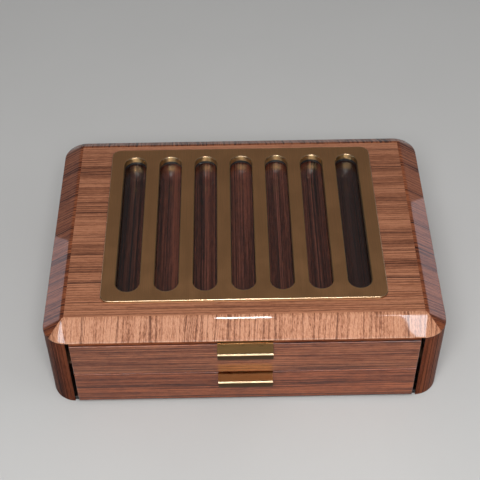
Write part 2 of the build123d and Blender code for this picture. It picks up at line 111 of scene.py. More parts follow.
class Board:
    """A node tree with short calls to place nodes and join their sockets."""

    def __init__(self, tree: Tree) -> None:
        """Wraps a shader or geometry node tree."""
        self.tree = tree

    def feed(self, node: bpy.types.Node, feeds: dict[Any, Any]) -> None:
        """Joins sockets to a node's inputs, and sets plain values on others.

        Args:
            node: the node.
            feeds: input name or number to a socket to join or a value to set.
        """
        for key, value in feeds.items():
            if isinstance(value, Socket):
                self.tree.links.new(value, node.inputs[key])
            else:
                node.inputs[key].default_value = value

    def put(self, kind: str, feeds: dict[Any, Any] | None = None, **settings: Any) -> bpy.types.Node:
        """Places a node.

        Args:
            kind: the node's type name.
            feeds: input name or number to a socket to join or a value to set.
            **settings: properties of the node.

        Returns:
            The new node.
        """
        node = self.tree.nodes.new(kind)
        for name, value in settings.items():
            setattr(node, name, value)
        self.feed(node, feeds or {})
        return node

    def out(self, kind: str, feeds: dict[Any, Any] | None = None, **settings: Any) -> Socket:
        """Places a node and gives its first output."""
        return self.put(kind, feeds, **settings).outputs[0]

    def find(self, kind: str) -> bpy.types.Node:
        """The tree's first node of a type."""
        return next(node for node in self.tree.nodes if node.type == kind)

    def math(self, operation: str, first: Any, second: Any = 0.0) -> Socket:
        """One step of arithmetic on sockets or numbers."""
        return self.out("ShaderNodeMath", {0: first, 1: second}, operation=operation)

    def plus(self, first: Any, second: Any) -> Socket:
        """A sum."""
        return self.math("ADD", first, second)

    def minus(self, first: Any, second: Any) -> Socket:
        """A difference."""
        return self.math("SUBTRACT", first, second)

    def times(self, first: Any, second: Any) -> Socket:
        """A product."""
        return self.math("MULTIPLY", first, second)

    def noise(self, vector: Any, scale: Any, detail: float = 2.0, roughness: float = 0.5) -> Socket:
        """A 3D noise at a scale in features per unit of its vector."""
        feeds = {"Vector": vector, "Scale": scale, "Detail": detail, "Roughness": roughness}
        return self.out("ShaderNodeTexNoise", feeds)

    def spread(
        self, value: Any, low: float, high: float, to_low: float = 0.0, to_high: float = 1.0,
    ) -> Socket:
        """Maps one range smoothly onto another.

        Args:
            value: a socket.
            low: the value that gives to_low.
            high: the value that gives to_high.
            to_low: the first result.
            to_high: the last result.

        Returns:
            The result's socket.
        """
        feeds = {"Value": value, "From Min": low, "From Max": high, "To Min": to_low, "To Max": to_high}
        return self.out("ShaderNodeMapRange", feeds, interpolation_type="SMOOTHSTEP")

    def mix(self, factor: Any, first: Colour | Socket, second: Colour | Socket) -> Socket:
        """The second colour laid over the first by a factor."""
        feeds = {0: factor, 6: rgba(first), 7: rgba(second)}
        return self.put("ShaderNodeMix", feeds, data_type="RGBA", blend_type="MIX").outputs[2]

    def ramp(self, value: Any, stops: Iterable[tuple[float, Colour]]) -> Socket:
        """A colour ramp.

        Args:
            value: a socket.
            stops: places and their colours, in order.

        Returns:
            The colour's socket.
        """
        node = self.put("ShaderNodeValToRGB", {0: value})
        elements = node.color_ramp.elements
        for index, (place, colour) in enumerate(stops):
            element = elements[index] if index < len(elements) else elements.new(place)
            element.position, element.color = place, rgba(colour)
        return node.outputs[0]

    def bump(self, height: Socket, strength: float, distance: float) -> Socket:
        """A normal bumped by a height, at a distance in millimetres."""
        feeds = {"Height": height, "Strength": strength, "Distance": distance * MM}
        return self.out("ShaderNodeBump", feeds)

    def effect(self, tree: Tree, **feeds: Any) -> Any:
        """Places a shared effect and gives its outputs."""
        return self.put("ShaderNodeGroup", named(feeds), node_tree=tree).outputs


class Group(Board):
    """A node group of its own, with named inputs and outputs."""

    KINDS = {
        float: "NodeSocketFloat", int: "NodeSocketInt", Vector: "NodeSocketVector",
        bpy.types.Mesh: "NodeSocketGeometry", bpy.types.Material: "NodeSocketMaterial",
    }

    def __init__(self, name: str, kind: str, **inputs: Any) -> None:
        """Starts a group.

        Args:
            name: the group's name.
            kind: SHADER or GEOMETRY.
            **inputs: input names, with underscores for blanks, to their types or default numbers.
        """
        super().__init__(bpy.data.node_groups.new(name, kind))
        self.output_kind = float if kind == SHADER else bpy.types.Mesh
        for label, value in named(inputs).items():
            is_number = isinstance(value, float)
            socket = self.socket(label, "INPUT", float if is_number else value)
            if is_number:
                socket.default_value = value
        self.entry = self.put("NodeGroupInput").outputs

    def socket(self, label: str, in_out: str, kind: type) -> bpy.types.NodeTreeInterfaceSocket:
        """Adds a socket to the group's interface."""
        return self.tree.interface.new_socket(name=label, in_out=in_out, socket_type=self.KINDS[kind])

    def finish(self, **outputs: Socket) -> Tree:
        """Ends the group.

        Args:
            **outputs: output names to what they give.

        Returns:
            The group's tree.
        """
        for label in outputs:
            self.socket(label, "OUTPUT", self.output_kind)
        self.put("NodeGroupOutput", outputs)
        return self.tree


@cache
def veneer_figure() -> Tree:
    """The figure of striped veneer: growth lines that are sharp on one side, bands and short flecks.

    Returns:
        A group with the outputs Tone, Line and Pore.
    """
    group = Group(
        "veneer_figure", SHADER, Vector=Vector, Across=0.0, Wave=6.0, Band=14.0, Line_Spacing=5.0,
        Fleck=0.25,
    )
    entry, plus, times, spread = group.entry, group.plus, group.times, group.spread

    def noise(along: float, scale: Any, detail: float, roughness: float = 0.5) -> Socket:
        """A noise whose step along the grain is scaled.

        Args:
            along: that step's scale.
            scale: features per millimetre.
            detail: octaves.
            roughness: how strong the finer ones are.

        Returns:
            The noise's socket.
        """
        feeds = {0: entry["Vector"], 1: (along, 1.0, 1.0)}
        drawn_out = group.out("ShaderNodeVectorMath", feeds, operation="MULTIPLY")
        return group.noise(drawn_out, scale, detail, roughness)

    def around_zero(value: Any, size: Any) -> Socket:
        """A value from 0 to 1 as one from minus half the size to plus half of it."""
        return times(group.minus(value, 0.5), size)

    across = plus(entry["Across"], around_zero(noise(3.0, 1 / 24, 2.0), entry["Wave"]))
    across = plus(across, around_zero(noise(9.0, 1 / 6, 1.0), times(entry["Wave"], 0.16)))
    rank = group.math("DIVIDE", across, entry["Line Spacing"])
    feeds = {"W": times(rank, 0.37), "Detail": 1.0}
    rank = plus(rank, around_zero(group.out("ShaderNodeTexNoise", feeds, noise_dimensions="1D"), 1.6))
    feeds = {"W": group.math("FLOOR", rank)}
    chance = group.out("ShaderNodeTexWhiteNoise", feeds, noise_dimensions="1D")
    strength = spread(chance, 0.0, 1.0, 0.45, 1.0)
    part = group.math("FRACT", rank)
    closing = spread(part, 0.95, 1.0, 1.0, 0.0)
    broken = spread(noise(4.0, 0.12, 2.0, 0.6), 0.34, 0.54, 0.35, 1.0)
    line = times(times(spread(part, 0.66, 0.9), times(closing, broken)), strength)
    bands = spread(noise(0.5, group.math("DIVIDE", 1.0, entry["Band"]), 2.0), 0.3, 0.7)
    flecks = spread(noise(2.6, 1.1, 2.0, 0.65), 0.3, 0.7)
    streaks = spread(noise(0.6, 0.5, 3.0, 0.6), 0.3, 0.7)
    tone = plus(0.7, around_zero(bands, 0.35))
    tone = plus(tone, around_zero(streaks, 0.35))
    tone = plus(tone, around_zero(flecks, entry["Fleck"]))
    soft = times(group.math("POWER", part, 2.2), strength)
    tone = group.minus(tone, times(soft, 0.65))
    return group.finish(Tone=tone, Line=line, Pore=spread(noise(4.0, 2.4, 1.0), 0.60, 0.70))


@cache
def surface_wear() -> Tree:
    """Faint smears, dust and slow swells of a handled smooth surface, in millimetres.

    Returns:
        A group with the outputs Smear, Dust and Swell.
    """
    group = Group("surface_wear", SHADER, Vector=Vector, Size=30.0)
    place, scale = group.entry["Vector"], group.math("DIVIDE", 1.0, group.entry["Size"])
    return group.finish(
        Smear=group.spread(group.noise(place, scale, 4.0, 0.6), 0.35, 0.7),
        Dust=group.spread(group.noise(place, 1.4, 1.0), 0.72, 0.78), Swell=group.noise(place, 0.09, 1.0),
    )


@cache
def brushed_lines() -> Tree:
    """Fine lines of brushed metal along the X of its frame, in millimetres.

    Returns:
        A group with the outputs Tone and Height.
    """
    group = Group("brushed_lines", SHADER, Vector=Vector, Width=0.5)
    place, scale = group.entry["Vector"], group.math("DIVIDE", 1.0, group.entry["Width"])
    fine = group.noise(place, scale, 3.0, 0.65)
    both = group.plus(group.times(fine, 0.6), group.times(group.noise(place, 0.16), 0.4))
    return group.finish(Tone=group.spread(both, 0.3, 0.7), Height=fine)


@cache
def nap() -> Tree:
    """Short pile with brushed patches, in millimetres.

    Returns:
        A group with the outputs Patch and Height.
    """
    group = Group("nap", SHADER, Vector=Vector, Pile=0.4)
    place, scale = group.entry["Vector"], group.math("DIVIDE", 1.0, group.entry["Pile"])
    pile = group.noise(place, scale, 2.0, 0.7)
    patch = group.times(group.spread(group.noise(place, 0.07, 3.0), 0.35, 0.65), 0.7)
    return group.finish(Patch=group.plus(patch, group.times(pile, 0.3)), Height=pile)


def pattern_place(
    board: Board, grain: Grain = Grain.ACROSS_FLAT, stretch: float = 1.0, offset: Colour = (0.0, 0.0, 0.0),
) -> Socket:
    """Object coordinates in a pattern's frame, in millimetres.

    Args:
        board: the material's board.
        grain: which way the pattern runs.
        stretch: how far it is drawn out along the grain.
        offset: the frame's origin, in metres.

    Returns:
        The vector's socket.
    """
    about_y, about_z, flat = grain.value
    along = stretch * MM
    return board.out("ShaderNodeMapping", {
        "Vector": board.put("ShaderNodeTexCoord").outputs["Object"], "Location": offset,
        "Rotation": (0.0, math.radians(about_y), math.radians(about_z)),
        "Scale": (along, MM, along if flat else MM),
    }, vector_type="TEXTURE")


def worn(board: Board, size: float = 30.0) -> Any:
    """The outputs of the wear effect, with smears of a size in millimetres."""
    return board.effect(surface_wear(), Vector=pattern_place(board), Size=size)


@dataclass(frozen=True)
class Finish:
    """A surface finish that becomes one material."""

    name: str

    def dress(self, board: Board) -> dict[str, Any]:
        """Places the finish's nodes. Each finish has its own.

        Args:
            board: the material's board.

        Returns:
            The shader's input names, with underscores for blanks, to sockets or values.
        """
        raise NotImplementedError

    @cache
    def material(self) -> bpy.types.Material:
        """The finish's material, made once."""
        material = bpy.data.materials.new(self.name)
        material.use_nodes = True
        board = Board(material.node_tree)
        board.feed(board.find("BSDF_PRINCIPLED"), named(self.dress(board)))
        return material


@dataclass(frozen=True)
class Veneer(Finish):
    """Striped wood in dark, middle and light tones, under clear gloss lacquer unless its coat is 0."""

    grain: Grain
    palette: Palette
    line: Colour = (0.03, 0.012, 0.01)
    line_depth: float = 0.75
    band: float = 14.0
    line_spacing: float = 5.0
    wave: float = 6.0
    fleck: float = 0.25
    stretch: float = 22.0
    offset: Colour = (0.0, 0.0, 0.0)
    coat: float = 1.0
    roughness: float = 0.5
    roughness_swing: float = 0.08
    coat_roughness: float = 0.03
    specular: float = 0.12
    tone_stops: Colour = (0.12, 0.5, 0.88)
    pore_depth: float = 0.35
    # How strong the painted shade towards the sides is, and where it starts and ends, in millimetres
    painted_side_shade: float = 0.0
    shade_middle: float = -6.0
    shade_start: float = 78.0
    shade_end: float = 106.0

    def across(self, board: Board, place: Socket) -> Socket:
        """The distance across the grain, which keeps growing round an upright corner.

        Args:
            board: the material's board.
            place: the pattern's vector.

        Returns:
            The distance's socket, in millimetres.
        """
        parts = board.put("ShaderNodeSeparateXYZ", {0: place}).outputs
        if self.grain is Grain.UPRIGHT:
            return board.minus(board.math("ABSOLUTE", parts[1]), board.math("ABSOLUTE", parts[2]))
        return board.plus(parts[1], parts[2])

    def shaded(self, board: Board, colour: Socket) -> Socket:
        """The colour darkened towards the sides, most on the right, as painted shade, if the finish has any.

        Args:
            board: the material's board.
            colour: the wood's colour.

        Returns:
            The colour's socket, with the painted shade.
        """
        if not self.painted_side_shade:
            return colour
        sideways = board.out("ShaderNodeSeparateXYZ", {0: pattern_place(board)})
        distance = board.math("ABSOLUTE", board.plus(sideways, -self.shade_middle))
        outer = board.spread(distance, self.shade_start, self.shade_end)
        return board.mix(board.times(outer, self.painted_side_shade), colour, self.line)

    def dress(self, board: Board) -> dict[str, Any]:
        """Grain in the colour, lacquer with faint swells over it.

        Args:
            board: the material's board.

        Returns:
            The shader's inputs.
        """
        place = pattern_place(board, self.grain, self.stretch, self.offset)
        figure = board.effect(
            veneer_figure(), Vector=place, Across=self.across(board, place), Wave=self.wave, Band=self.band,
            Line_Spacing=self.line_spacing, Fleck=self.fleck,
        )
        colour = board.ramp(figure["Tone"], zip(self.tone_stops, self.palette))
        colour = board.mix(board.times(figure["Line"], self.line_depth), colour, self.line)
        colour = board.mix(board.times(figure["Pore"], self.pore_depth), colour, self.palette[0])
        rough = (self.roughness + self.roughness_swing, self.roughness - self.roughness_swing)
        return dict(
            Base_Color=self.shaded(board, colour), Roughness=board.spread(figure["Tone"], 0.2, 0.8, *rough),
            Normal=board.bump(worn(board)["Swell"], 0.25, 0.04), Coat_Weight=self.coat,
            Coat_Roughness=self.coat_roughness, Coat_IOR=1.5, Specular_IOR_Level=self.specular,
        )


@dataclass(frozen=True)
class BrushedBrass(Finish):
    """Satin brass with fine lines along the grain."""

    colour: Colour
    grain: Grain = Grain.DEPTH_SOLID
    roughness: float = 0.34
    stretch: float = 40.0

    def dress(self, board: Board) -> dict[str, Any]:
        """Lines in colour, roughness and height.

        Args:
            board: the material's board.

        Returns:
            The shader's inputs.
        """
        lines = board.effect(brushed_lines(), Vector=pattern_place(board, self.grain, self.stretch))
        rough = board.spread(lines["Tone"], 0.0, 1.0, self.roughness + 0.05, self.roughness - 0.05)
        return dict(
            Base_Color=board.mix(lines["Tone"], tinted(self.colour, 0.82), self.colour),
            Roughness=board.plus(rough, board.times(worn(board, 22.0)["Smear"], 0.06)),
            Normal=board.bump(lines["Height"], 0.3, 0.02), Metallic=1.0,
        )


@dataclass(frozen=True)
class PolishedMetal(Finish):
    """Bright metal with faint smears."""

    colour: Colour
    roughness: float

    def dress(self, board: Board) -> dict[str, Any]:
        """Smears in roughness and colour.

        Args:
            board: the material's board.

        Returns:
            The shader's inputs.
        """
        smear = worn(board, 9.0)["Smear"]
        return dict(
            Base_Color=board.mix(smear, self.colour, tinted(self.colour, 0.85)),
            Roughness=board.plus(self.roughness, board.times(smear, 0.07)), Metallic=1.0,
        )


@dataclass(frozen=True)
class Pile(Finish):
    """Velvet or felt."""

    dark: Colour
    light: Colour
    sheen: float
    pile: float

    def dress(self, board: Board) -> dict[str, Any]:
        """Patches in colour and pile in height.

        Args:
            board: the material's board.

        Returns:
            The shader's inputs.
        """
        cloth = board.effect(nap(), Vector=pattern_place(board), Pile=self.pile)
        return dict(
            Base_Color=board.mix(cloth["Patch"], self.dark, self.light),
            Normal=board.bump(cloth["Height"], 0.6, 0.2), Roughness=0.95, Sheen_Weight=self.sheen,
            Sheen_Roughness=0.35,
        )


@dataclass(frozen=True)
class Smooth(Finish):
    """A plain coloured surface, such as black lacquer or rubber, with handling smears."""

    colour: Colour
    roughness: float
    coat: float = 0.0

    def dress(self, board: Board) -> dict[str, Any]:
        """Smears in roughness, dust in colour.

        Args:
            board: the material's board.

        Returns:
            The shader's inputs.
        """
        wear = worn(board, 18.0)
        dusty = tuple(min(1.0, 1.5 * part + 0.01) for part in self.colour)
        return dict(
            Base_Color=board.mix(board.times(wear["Dust"], 0.3), self.colour, dusty),
            Roughness=board.plus(self.roughness, board.times(wear["Smear"], 0.1)), Coat_Weight=self.coat,
            Coat_Roughness=0.05,
        )


@dataclass(frozen=True)
class ClearGlass(Finish):
    """Clear glass that lets lamp light through without caustics."""

    tint: Colour = (0.96, 0.97, 0.96)
    smeared: Colour = (0.9, 0.9, 0.9)
    clear_to_light: float = 0.92

    def dress(self, board: Board) -> dict[str, Any]:
        """Transmission, faint smears in the colour, and clear to shadow rays.

        Args:
            board: the material's board.

        Returns:
            The shader's inputs.
        """
        path = board.put("ShaderNodeLightPath").outputs
        indirect = board.math("MAXIMUM", path["Is Shadow Ray"], path["Is Diffuse Ray"])
        return dict(
            Base_Color=board.mix(board.times(worn(board, 40.0)["Smear"], 0.02), self.tint, self.smeared),
            Alpha=board.minus(1.0, board.times(indirect, self.clear_to_light)), Transmission_Weight=1.0,
            Roughness=0.0, IOR=1.5,
        )


@dataclass(frozen=True)
class FloorPaint(Finish):
    """Pale matt paint with wide faint clouds."""

    dark: Colour = (0.56, 0.555, 0.545)
    light: Colour = (0.60, 0.595, 0.585)
    cloud: float = 180.0

    def dress(self, board: Board) -> dict[str, Any]:
        """Clouds in the colour."""
        clouds = board.noise(pattern_place(board), 1 / self.cloud, 3.0)
        return dict(Base_Color=board.mix(clouds, self.dark, self.light), Roughness=0.9)


# Finishes of this case
# The lid's zones and the drawer fronts are one veneer: the front bevel's tones are lighter as painted light,
# the side and back bevels' and the fronts' darker as painted shade, on top of real differences of grain
TOP_TONES = ((0.11, 0.034, 0.015), (0.28, 0.103, 0.050), (0.44, 0.182, 0.096))
BEVEL_TONES = ((0.22, 0.078, 0.038), (0.48, 0.205, 0.110), (0.60, 0.290, 0.168))
SIDE_TONES = ((0.04, 0.006, 0.002), (0.17, 0.042, 0.014), (0.31, 0.094, 0.036))
POST_TONES = ((0.015, 0.002, 0.001), (0.09, 0.017, 0.004), (0.18, 0.046, 0.016))
FRONT_TONES = ((0.035, 0.005, 0.002), (0.180, 0.043, 0.013), (0.36, 0.115, 0.046))
LOWER_FRONT_PAINTED_SHADE_TONES = ((0.04, 0.005, 0.001), (0.18, 0.037, 0.008), (0.37, 0.098, 0.033))
TRAY_TONES = ((0.012, 0.002, 0.001), (0.064, 0.016, 0.009), (0.175, 0.051, 0.029))
BOX_TONES = ((0.17, 0.08, 0.045), (0.26, 0.13, 0.075), (0.34, 0.18, 0.11))
DOWEL_TONES = ((0.45, 0.28, 0.16), (0.55, 0.36, 0.21), (0.63, 0.43, 0.27))
TOP_VENEER = Veneer(
    "veneer_lid_top", Grain.ACROSS_FLAT, TOP_TONES, line_spacing=2.6, wave=5.0, stretch=18.0,
    offset=(0.0, 0.15, 0.0),
)
FRONT_BEVEL_VENEER = Veneer(
    "veneer_front_bevel", Grain.DEPTH_FLAT, BEVEL_TONES, line=(0.14, 0.050, 0.028), line_depth=0.65,
    line_spacing=4.6, stretch=8.0, fleck=0.6, offset=(0.031, 0.0, 0.0),
)
SIDE_BEVEL_VENEER = Veneer(
    "veneer_side_bevel", Grain.ACROSS_FLAT, SIDE_TONES, line=(0.02, 0.004, 0.002), line_depth=0.85,
    line_spacing=3.3, wave=3.5, stretch=12.0, offset=(0.0, 0.071, 0.0),
)
BACK_BEVEL_VENEER = Veneer(
    "veneer_back_bevel", Grain.DEPTH_FLAT, SIDE_TONES, line_spacing=4.2, stretch=9.0, coat=0.35,
)
POST_VENEER = Veneer(
    "veneer_posts", Grain.UPRIGHT, POST_TONES, line=(0.008, 0.002, 0.001), line_depth=0.9, line_spacing=4.0,
    wave=2.5, offset=(0.0, 0.013, 0.4), coat=0.08, specular=0.05,
)
BACK_VENEER = Veneer("veneer_back_wall", Grain.ACROSS_SOLID, TOP_TONES, offset=(0.3, 0.2, 0.3))
FRONT_VENEER = Veneer(
    "veneer_upper_front", Grain.ACROSS_SOLID, FRONT_TONES, line=(0.010, 0.002, 0.001), line_depth=1.0,
    line_spacing=2.9, wave=2.2, stretch=24.0, offset=(0.2, 0.0, 0.1), coat=0.85, band=5.0,
)
# The lower front is the same veneer as the upper, with its palette darkened as painted shade
LOWER_FRONT_PAINTED_SHADE_VENEER = replace(FRONT_VENEER, name="veneer_lower_front_painted_shade", palette=LOWER_FRONT_PAINTED_SHADE_TONES)
# The tray's outer grooves get painted shade, darker towards the sides and most on the right
TRAY_WOOD = Veneer(
    "stained_tray_wood", Grain.DEPTH_FLAT, TRAY_TONES, line=(0.008, 0.003, 0.003), band=5.0,
    line_spacing=2.2, wave=2.0, stretch=30.0, coat=0.5, coat_roughness=0.02, specular=0.0, painted_side_shade=0.85,
)
DRAWER_WOOD = Veneer(
    "drawer_box_wood", Grain.DEPTH_SOLID, BOX_TONES, line=(0.12, 0.05, 0.03), line_depth=0.4, coat=0.3,
    coat_roughness=0.3,
)
DOWEL_WOOD = Veneer(
    "beech_dowels", Grain.DEPTH_SOLID, DOWEL_TONES, line_depth=0.1, line_spacing=1.2, coat=0.0,
)
PLATE_BRASS = BrushedBrass("satin_plate_brass", (0.81, 0.415, 0.19))
RIM_BRASS = PolishedMetal("polished_rim_brass", (0.82, 0.60, 0.37), 0.22)
# The window walls' brass is darker than the plate's as painted shade
WALL_BRASS_PAINTED_SHADE = PolishedMetal("window_wall_brass_painted_shade", (0.55, 0.34, 0.15), 0.30)
# Both pulls are one brass: the upper's colour is lighter as painted light against the lid's shade, the
# lower's darker and more orange as painted shade and a painted reflection of the wood above it
UPPER_PULL_BRASS_PAINTED_LIGHT = BrushedBrass("satin_upper_pull_brass_painted_light", (0.86, 0.51, 0.205), Grain.ACROSS_SOLID, 0.3, 20.0)
LOWER_PULL_BRASS_PAINTED_SHADE = replace(UPPER_PULL_BRASS_PAINTED_LIGHT, name="satin_lower_pull_brass_painted_shade", colour=(0.59, 0.315, 0.127))
PULL_RIM_BRASS = PolishedMetal("polished_pull_rim", (0.33, 0.245, 0.15), 0.3)
# The lip is the same brass sheet, painted dark as painted shade and a painted reflection of a dark surround
LIP_PAINTED_SHADE = BrushedBrass("pull_lip_painted_shade", (0.108, 0.063, 0.032), Grain.ACROSS_SOLID, 0.36, 20.0)
HINGE_BRASS = PolishedMetal("bright_hinge_brass", (0.7, 0.5, 0.25), 0.22)
SCREW_STEEL = PolishedMetal("bright_screw_steel", (0.55, 0.55, 0.56), 0.28)
BLACK_LACQUER = Smooth("black_satin_lacquer", (0.008, 0.007, 0.007), 0.25, 0.5)
GASKET_RUBBER = Smooth("gasket_rubber", (0.006, 0.006, 0.006), 0.55)
VELVET = Pile("black_velvet", (0.008, 0.008, 0.01), (0.03, 0.03, 0.035), 0.35, 0.4)
FELT = Pile("black_felt", (0.01, 0.01, 0.01), (0.025, 0.025, 0.025), 0.15, 0.7)
GLASS = ClearGlass("polished_glass")
FLOOR_PAINT = FloorPaint("pale_floor")


# Points closer than this, in metres, are one point, and faces that turn less than this, in degrees, one face
SAME_POINT, SAME_FACE = 1e-6, 0.5


def mesh_of(work: bmesh.types.BMesh, name: str) -> bpy.types.Mesh:
    """A new mesh of an edited one, which is freed.

    Args:
        work: the edited one.
        name: the new mesh's name.

    Returns:
        The new mesh.
    """
    mesh = bpy.data.meshes.new(name)
    work.to_mesh(mesh)
    work.free()
    return mesh


def new_piece(name: str, mesh: bpy.types.Mesh, finishes: Sequence[Finish]) -> Piece:
    """Puts a mesh in the scene with its materials.

    Args:
        name: the piece's name.
        mesh: its mesh, in metres.
        finishes: one finish for each of its material slots.

    Returns:
        The new object.
    """
    piece = bpy.data.objects.new(name, mesh)
    bpy.context.scene.collection.objects.link(piece)
    for finish in finishes:
        mesh.materials.append(finish.material())
    return piece


def settle(piece: Piece, body: str, node: str) -> None:
    """Makes a piece ride on a body in place of a CAD node.

    Args:
        piece: the finished piece.
        body: the body that carries it.
        node: the CAD node that it stands for.
    """
    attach(piece, body)
    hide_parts(node)
    LOG.info("%s: %d faces on %s", piece.name, len(piece.data.polygons), body)


def apply_modifiers(piece: Piece) -> None:
    """Makes the result of a piece's modifiers its plain mesh, and removes them.

    Args:
        piece: an object with live modifiers.
    """
    graph = bpy.context.evaluated_depsgraph_get()
    graph.update()
    baked = bpy.data.meshes.new_from_object(piece.evaluated_get(graph), depsgraph=graph)
    piece.modifiers.clear()
    piece.data = baked


def bake(piece: Piece, kind: str, **settings: Any) -> None:
    """Applies one modifier to a piece.

    Args:
        piece: the object.
        kind: the modifier's type.
        **settings: its properties.
    """
    modifier = piece.modifiers.new(kind.lower(), kind)
    for name, value in settings.items():
        setattr(modifier, name, value)
    apply_modifiers(piece)


def shade(piece: Piece, angle: float = 32.0) -> None:
    """Smooth shading that keeps large flat faces flat.

    Args:
        piece: the object.
        angle: edges sharper than this, in degrees, stay sharp.
    """
    mesh = piece.data
    mesh.polygons.foreach_set("use_smooth", [True] * len(mesh.polygons))
    mesh.set_sharp_from_angle(angle=math.radians(angle))
    bake(piece, "WEIGHTED_NORMAL", keep_sharp=True, weight=80)


def soften(piece: Piece, width: float, angle: float = 40.0) -> None:
    """Rounds a piece's sharp edges.

    Args:
        piece: the object.
        width: the rounding, in millimetres.
        angle: edges sharper than this, in degrees, are rounded.
    """
    bake(
        piece, "BEVEL", width=width * MM, segments=2, limit_method="ANGLE",
        angle_limit=math.radians(angle), miter_outer="MITER_ARC", harden_normals=False,
    )


def merged_copy(node: Piece) -> bpy.types.Mesh:
    """A CAD node's mesh with its triangles merged and its flat faces made whole.

    Args:
        node: the CAD node's object.

    Returns:
        A new mesh.
    """
    work = bmesh.new()
    work.from_mesh(node.data)
    bmesh.ops.remove_doubles(work, verts=work.verts, dist=SAME_POINT)
    limit = math.radians(SAME_FACE)
    bmesh.ops.dissolve_limit(work, angle_limit=limit, verts=work.verts, edges=work.edges)
    return mesh_of(work, node.name)


def rounded_outline(width: float, depth: float, radius: float, centre_y: float, steps: int) -> Loop:
    """A rectangle with round corners, in millimetres, anticlockwise from its right front corner.

    Args:
        width: along X.
        depth: along Y.
        radius: of the corners.
        centre_y: the middle along Y.
        steps: of each corner's arc.

    Returns:
        Its points at height 0.
    """
    points: Loop = []
    for side_x, side_y, start in ((1, -1, -90.0), (1, 1, 0.0), (-1, 1, 90.0), (-1, -1, 180.0)):
        centre = Vector((side_x * (width / 2 - radius), centre_y + side_y * (depth / 2 - radius), 0))
        for step in range(steps + 1):
            angle = math.radians(start + 90.0 * step / steps)
            points.append(centre + radius * Vector((math.cos(angle), math.sin(angle), 0)))
    return points


def capsule(x: float, width: float, length: float, centre_y: float) -> Loop:
    """A slot with round ends that runs front to back, in millimetres."""
    outline = rounded_outline(width, length, width / 2 - 1e-4, centre_y, 12)
    return [point + Vector((x, 0, 0)) for point in outline]


def at_height(outline: Loop, z: float) -> Loop:
    """The outline moved to a height, in millimetres."""
    return [Vector((point.x, point.y, z)) for point in outline]


def bent(start: Loop, peak: Loop, end: Loop, share: float) -> Loop:
    """A ring on the rounding between two rings.

    Args:
        start: the ring that it leaves, at 0.
        peak: the sharp edge that it replaces.
        end: the ring that it reaches, at 1.
        share: how far round it is.

    Returns:
        The ring's points.
    """
    return [
        a * (1 - share) ** 2 + b * 2 * share * (1 - share) + c * share ** 2
        for a, b, c in zip(start, peak, end)
    ]


def centred_row(count: int, span: float) -> list[float]:
    """Evenly spaced places about zero, from one end of a span to the other."""
    return [span * (index / (count - 1) - 0.5) for index in range(count)]


class Shell:
    """A mesh made of closed rings, walls between them and flat faces with holes."""

    def __init__(self) -> None:
        """Starts an empty mesh."""
        self.work = bmesh.new()

    def ring(self, points: Loop) -> Ring:
        """Adds a ring of vertices, given in millimetres."""
        return [self.work.verts.new(point * MM) for point in points]

    def skin(self, lower: Ring, upper: Ring, material: Callable[[int], int] | int = 0) -> None:
        """Joins two rings of the same count with four-sided faces.

        Args:
            lower: one ring.
            upper: the other ring.
            material: a material number, or a function from the face's place in the ring to one.
        """
        count = len(lower)
        for index in range(count):
            after = (index + 1) % count
            face = self.work.faces.new((lower[index], lower[after], upper[after], upper[index]))
            face.material_index = material(index) if callable(material) else material

    def wall(self, outline: Loop, top: float, bottom: float, material: int = 0) -> tuple[Ring, Ring]:
        """An upright wall between two heights, in millimetres.

        Args:
            outline: its outline.
            top: its upper edge's height.
            bottom: its lower edge's height.
            material: its material number.

        Returns:
            Its upper and its lower ring.
        """
        upper, lower = (self.ring(at_height(outline, z)) for z in (top, bottom))
        self.skin(lower, upper, material)
        return upper, lower

    def plate(self, outer: Ring, holes: Sequence[Ring] = (), material: int = 0) -> None:
        """A flat face with holes.

        Args:
            outer: its outer ring.
            holes: the rings of its holes.
            material: its material number.
        """
        rings = [outer, *holes]
        flat = [vertex for ring in rings for vertex in ring]
        for corners in tessellate_polygon([[vertex.co for vertex in ring] for ring in rings]):
            face = self.work.faces.new([flat[corner] for corner in corners])
            face.material_index = material

    def close(self, name: str) -> bpy.types.Mesh:
        """Turns every face outwards and gives the mesh.

        Args:
            name: the mesh's name.

        Returns:
            The mesh.
        """
        bmesh.ops.remove_doubles(self.work, verts=self.work.verts, dist=1e-7)
        bmesh.ops.recalc_face_normals(self.work, faces=self.work.faces)
        return mesh_of(self.work, name)


class Rule(Group):
    """A geometry node tree with named sizes, which ends in Realize Instances and Set Material."""

    def __init__(self, name: str, **sizes: type) -> None:
        """Starts a tree.

        Args:
            name: the tree's name.
            **sizes: its inputs' names, with underscores for blanks, and their types.
        """
        super().__init__(name, GEOMETRY, Geometry=bpy.types.Mesh, **sizes, Finish=bpy.types.Material)

    def vector(self, x: Any = 0.0, y: Any = 0.0, z: Any = 0.0) -> Socket:
        """A vector from sockets or numbers."""
        return self.out("ShaderNodeCombineXYZ", {0: x, 1: y, 2: z})

    def moved(self, geometry: Socket, place: Socket) -> Socket:
        """Geometry moved."""
        return self.out("GeometryNodeTransform", {"Geometry": geometry, "Translation": place})

    def placed(self, points: Socket, instance: Socket, **feeds: Socket) -> Socket:
        """One geometry at every point."""
        return self.out("GeometryNodeInstanceOnPoints", {"Points": points, "Instance": instance, **feeds})

    def joined(self, *parts: Socket) -> Socket:
        """Several geometries as one."""
        node = self.put("GeometryNodeJoinGeometry")
        for part in parts:
            self.tree.links.new(part, node.inputs[0])
        return node.outputs[0]

    def painted(self, geometry: Socket) -> Tree:
        """Ends the tree.

        Args:
            geometry: what it makes.

        Returns:
            The tree.
        """
        real = self.out("GeometryNodeRealizeInstances", {0: geometry})
        feeds = {"Geometry": real, "Material": self.entry["Finish"]}
        return self.finish(Geometry=self.out("GeometryNodeSetMaterial", feeds))


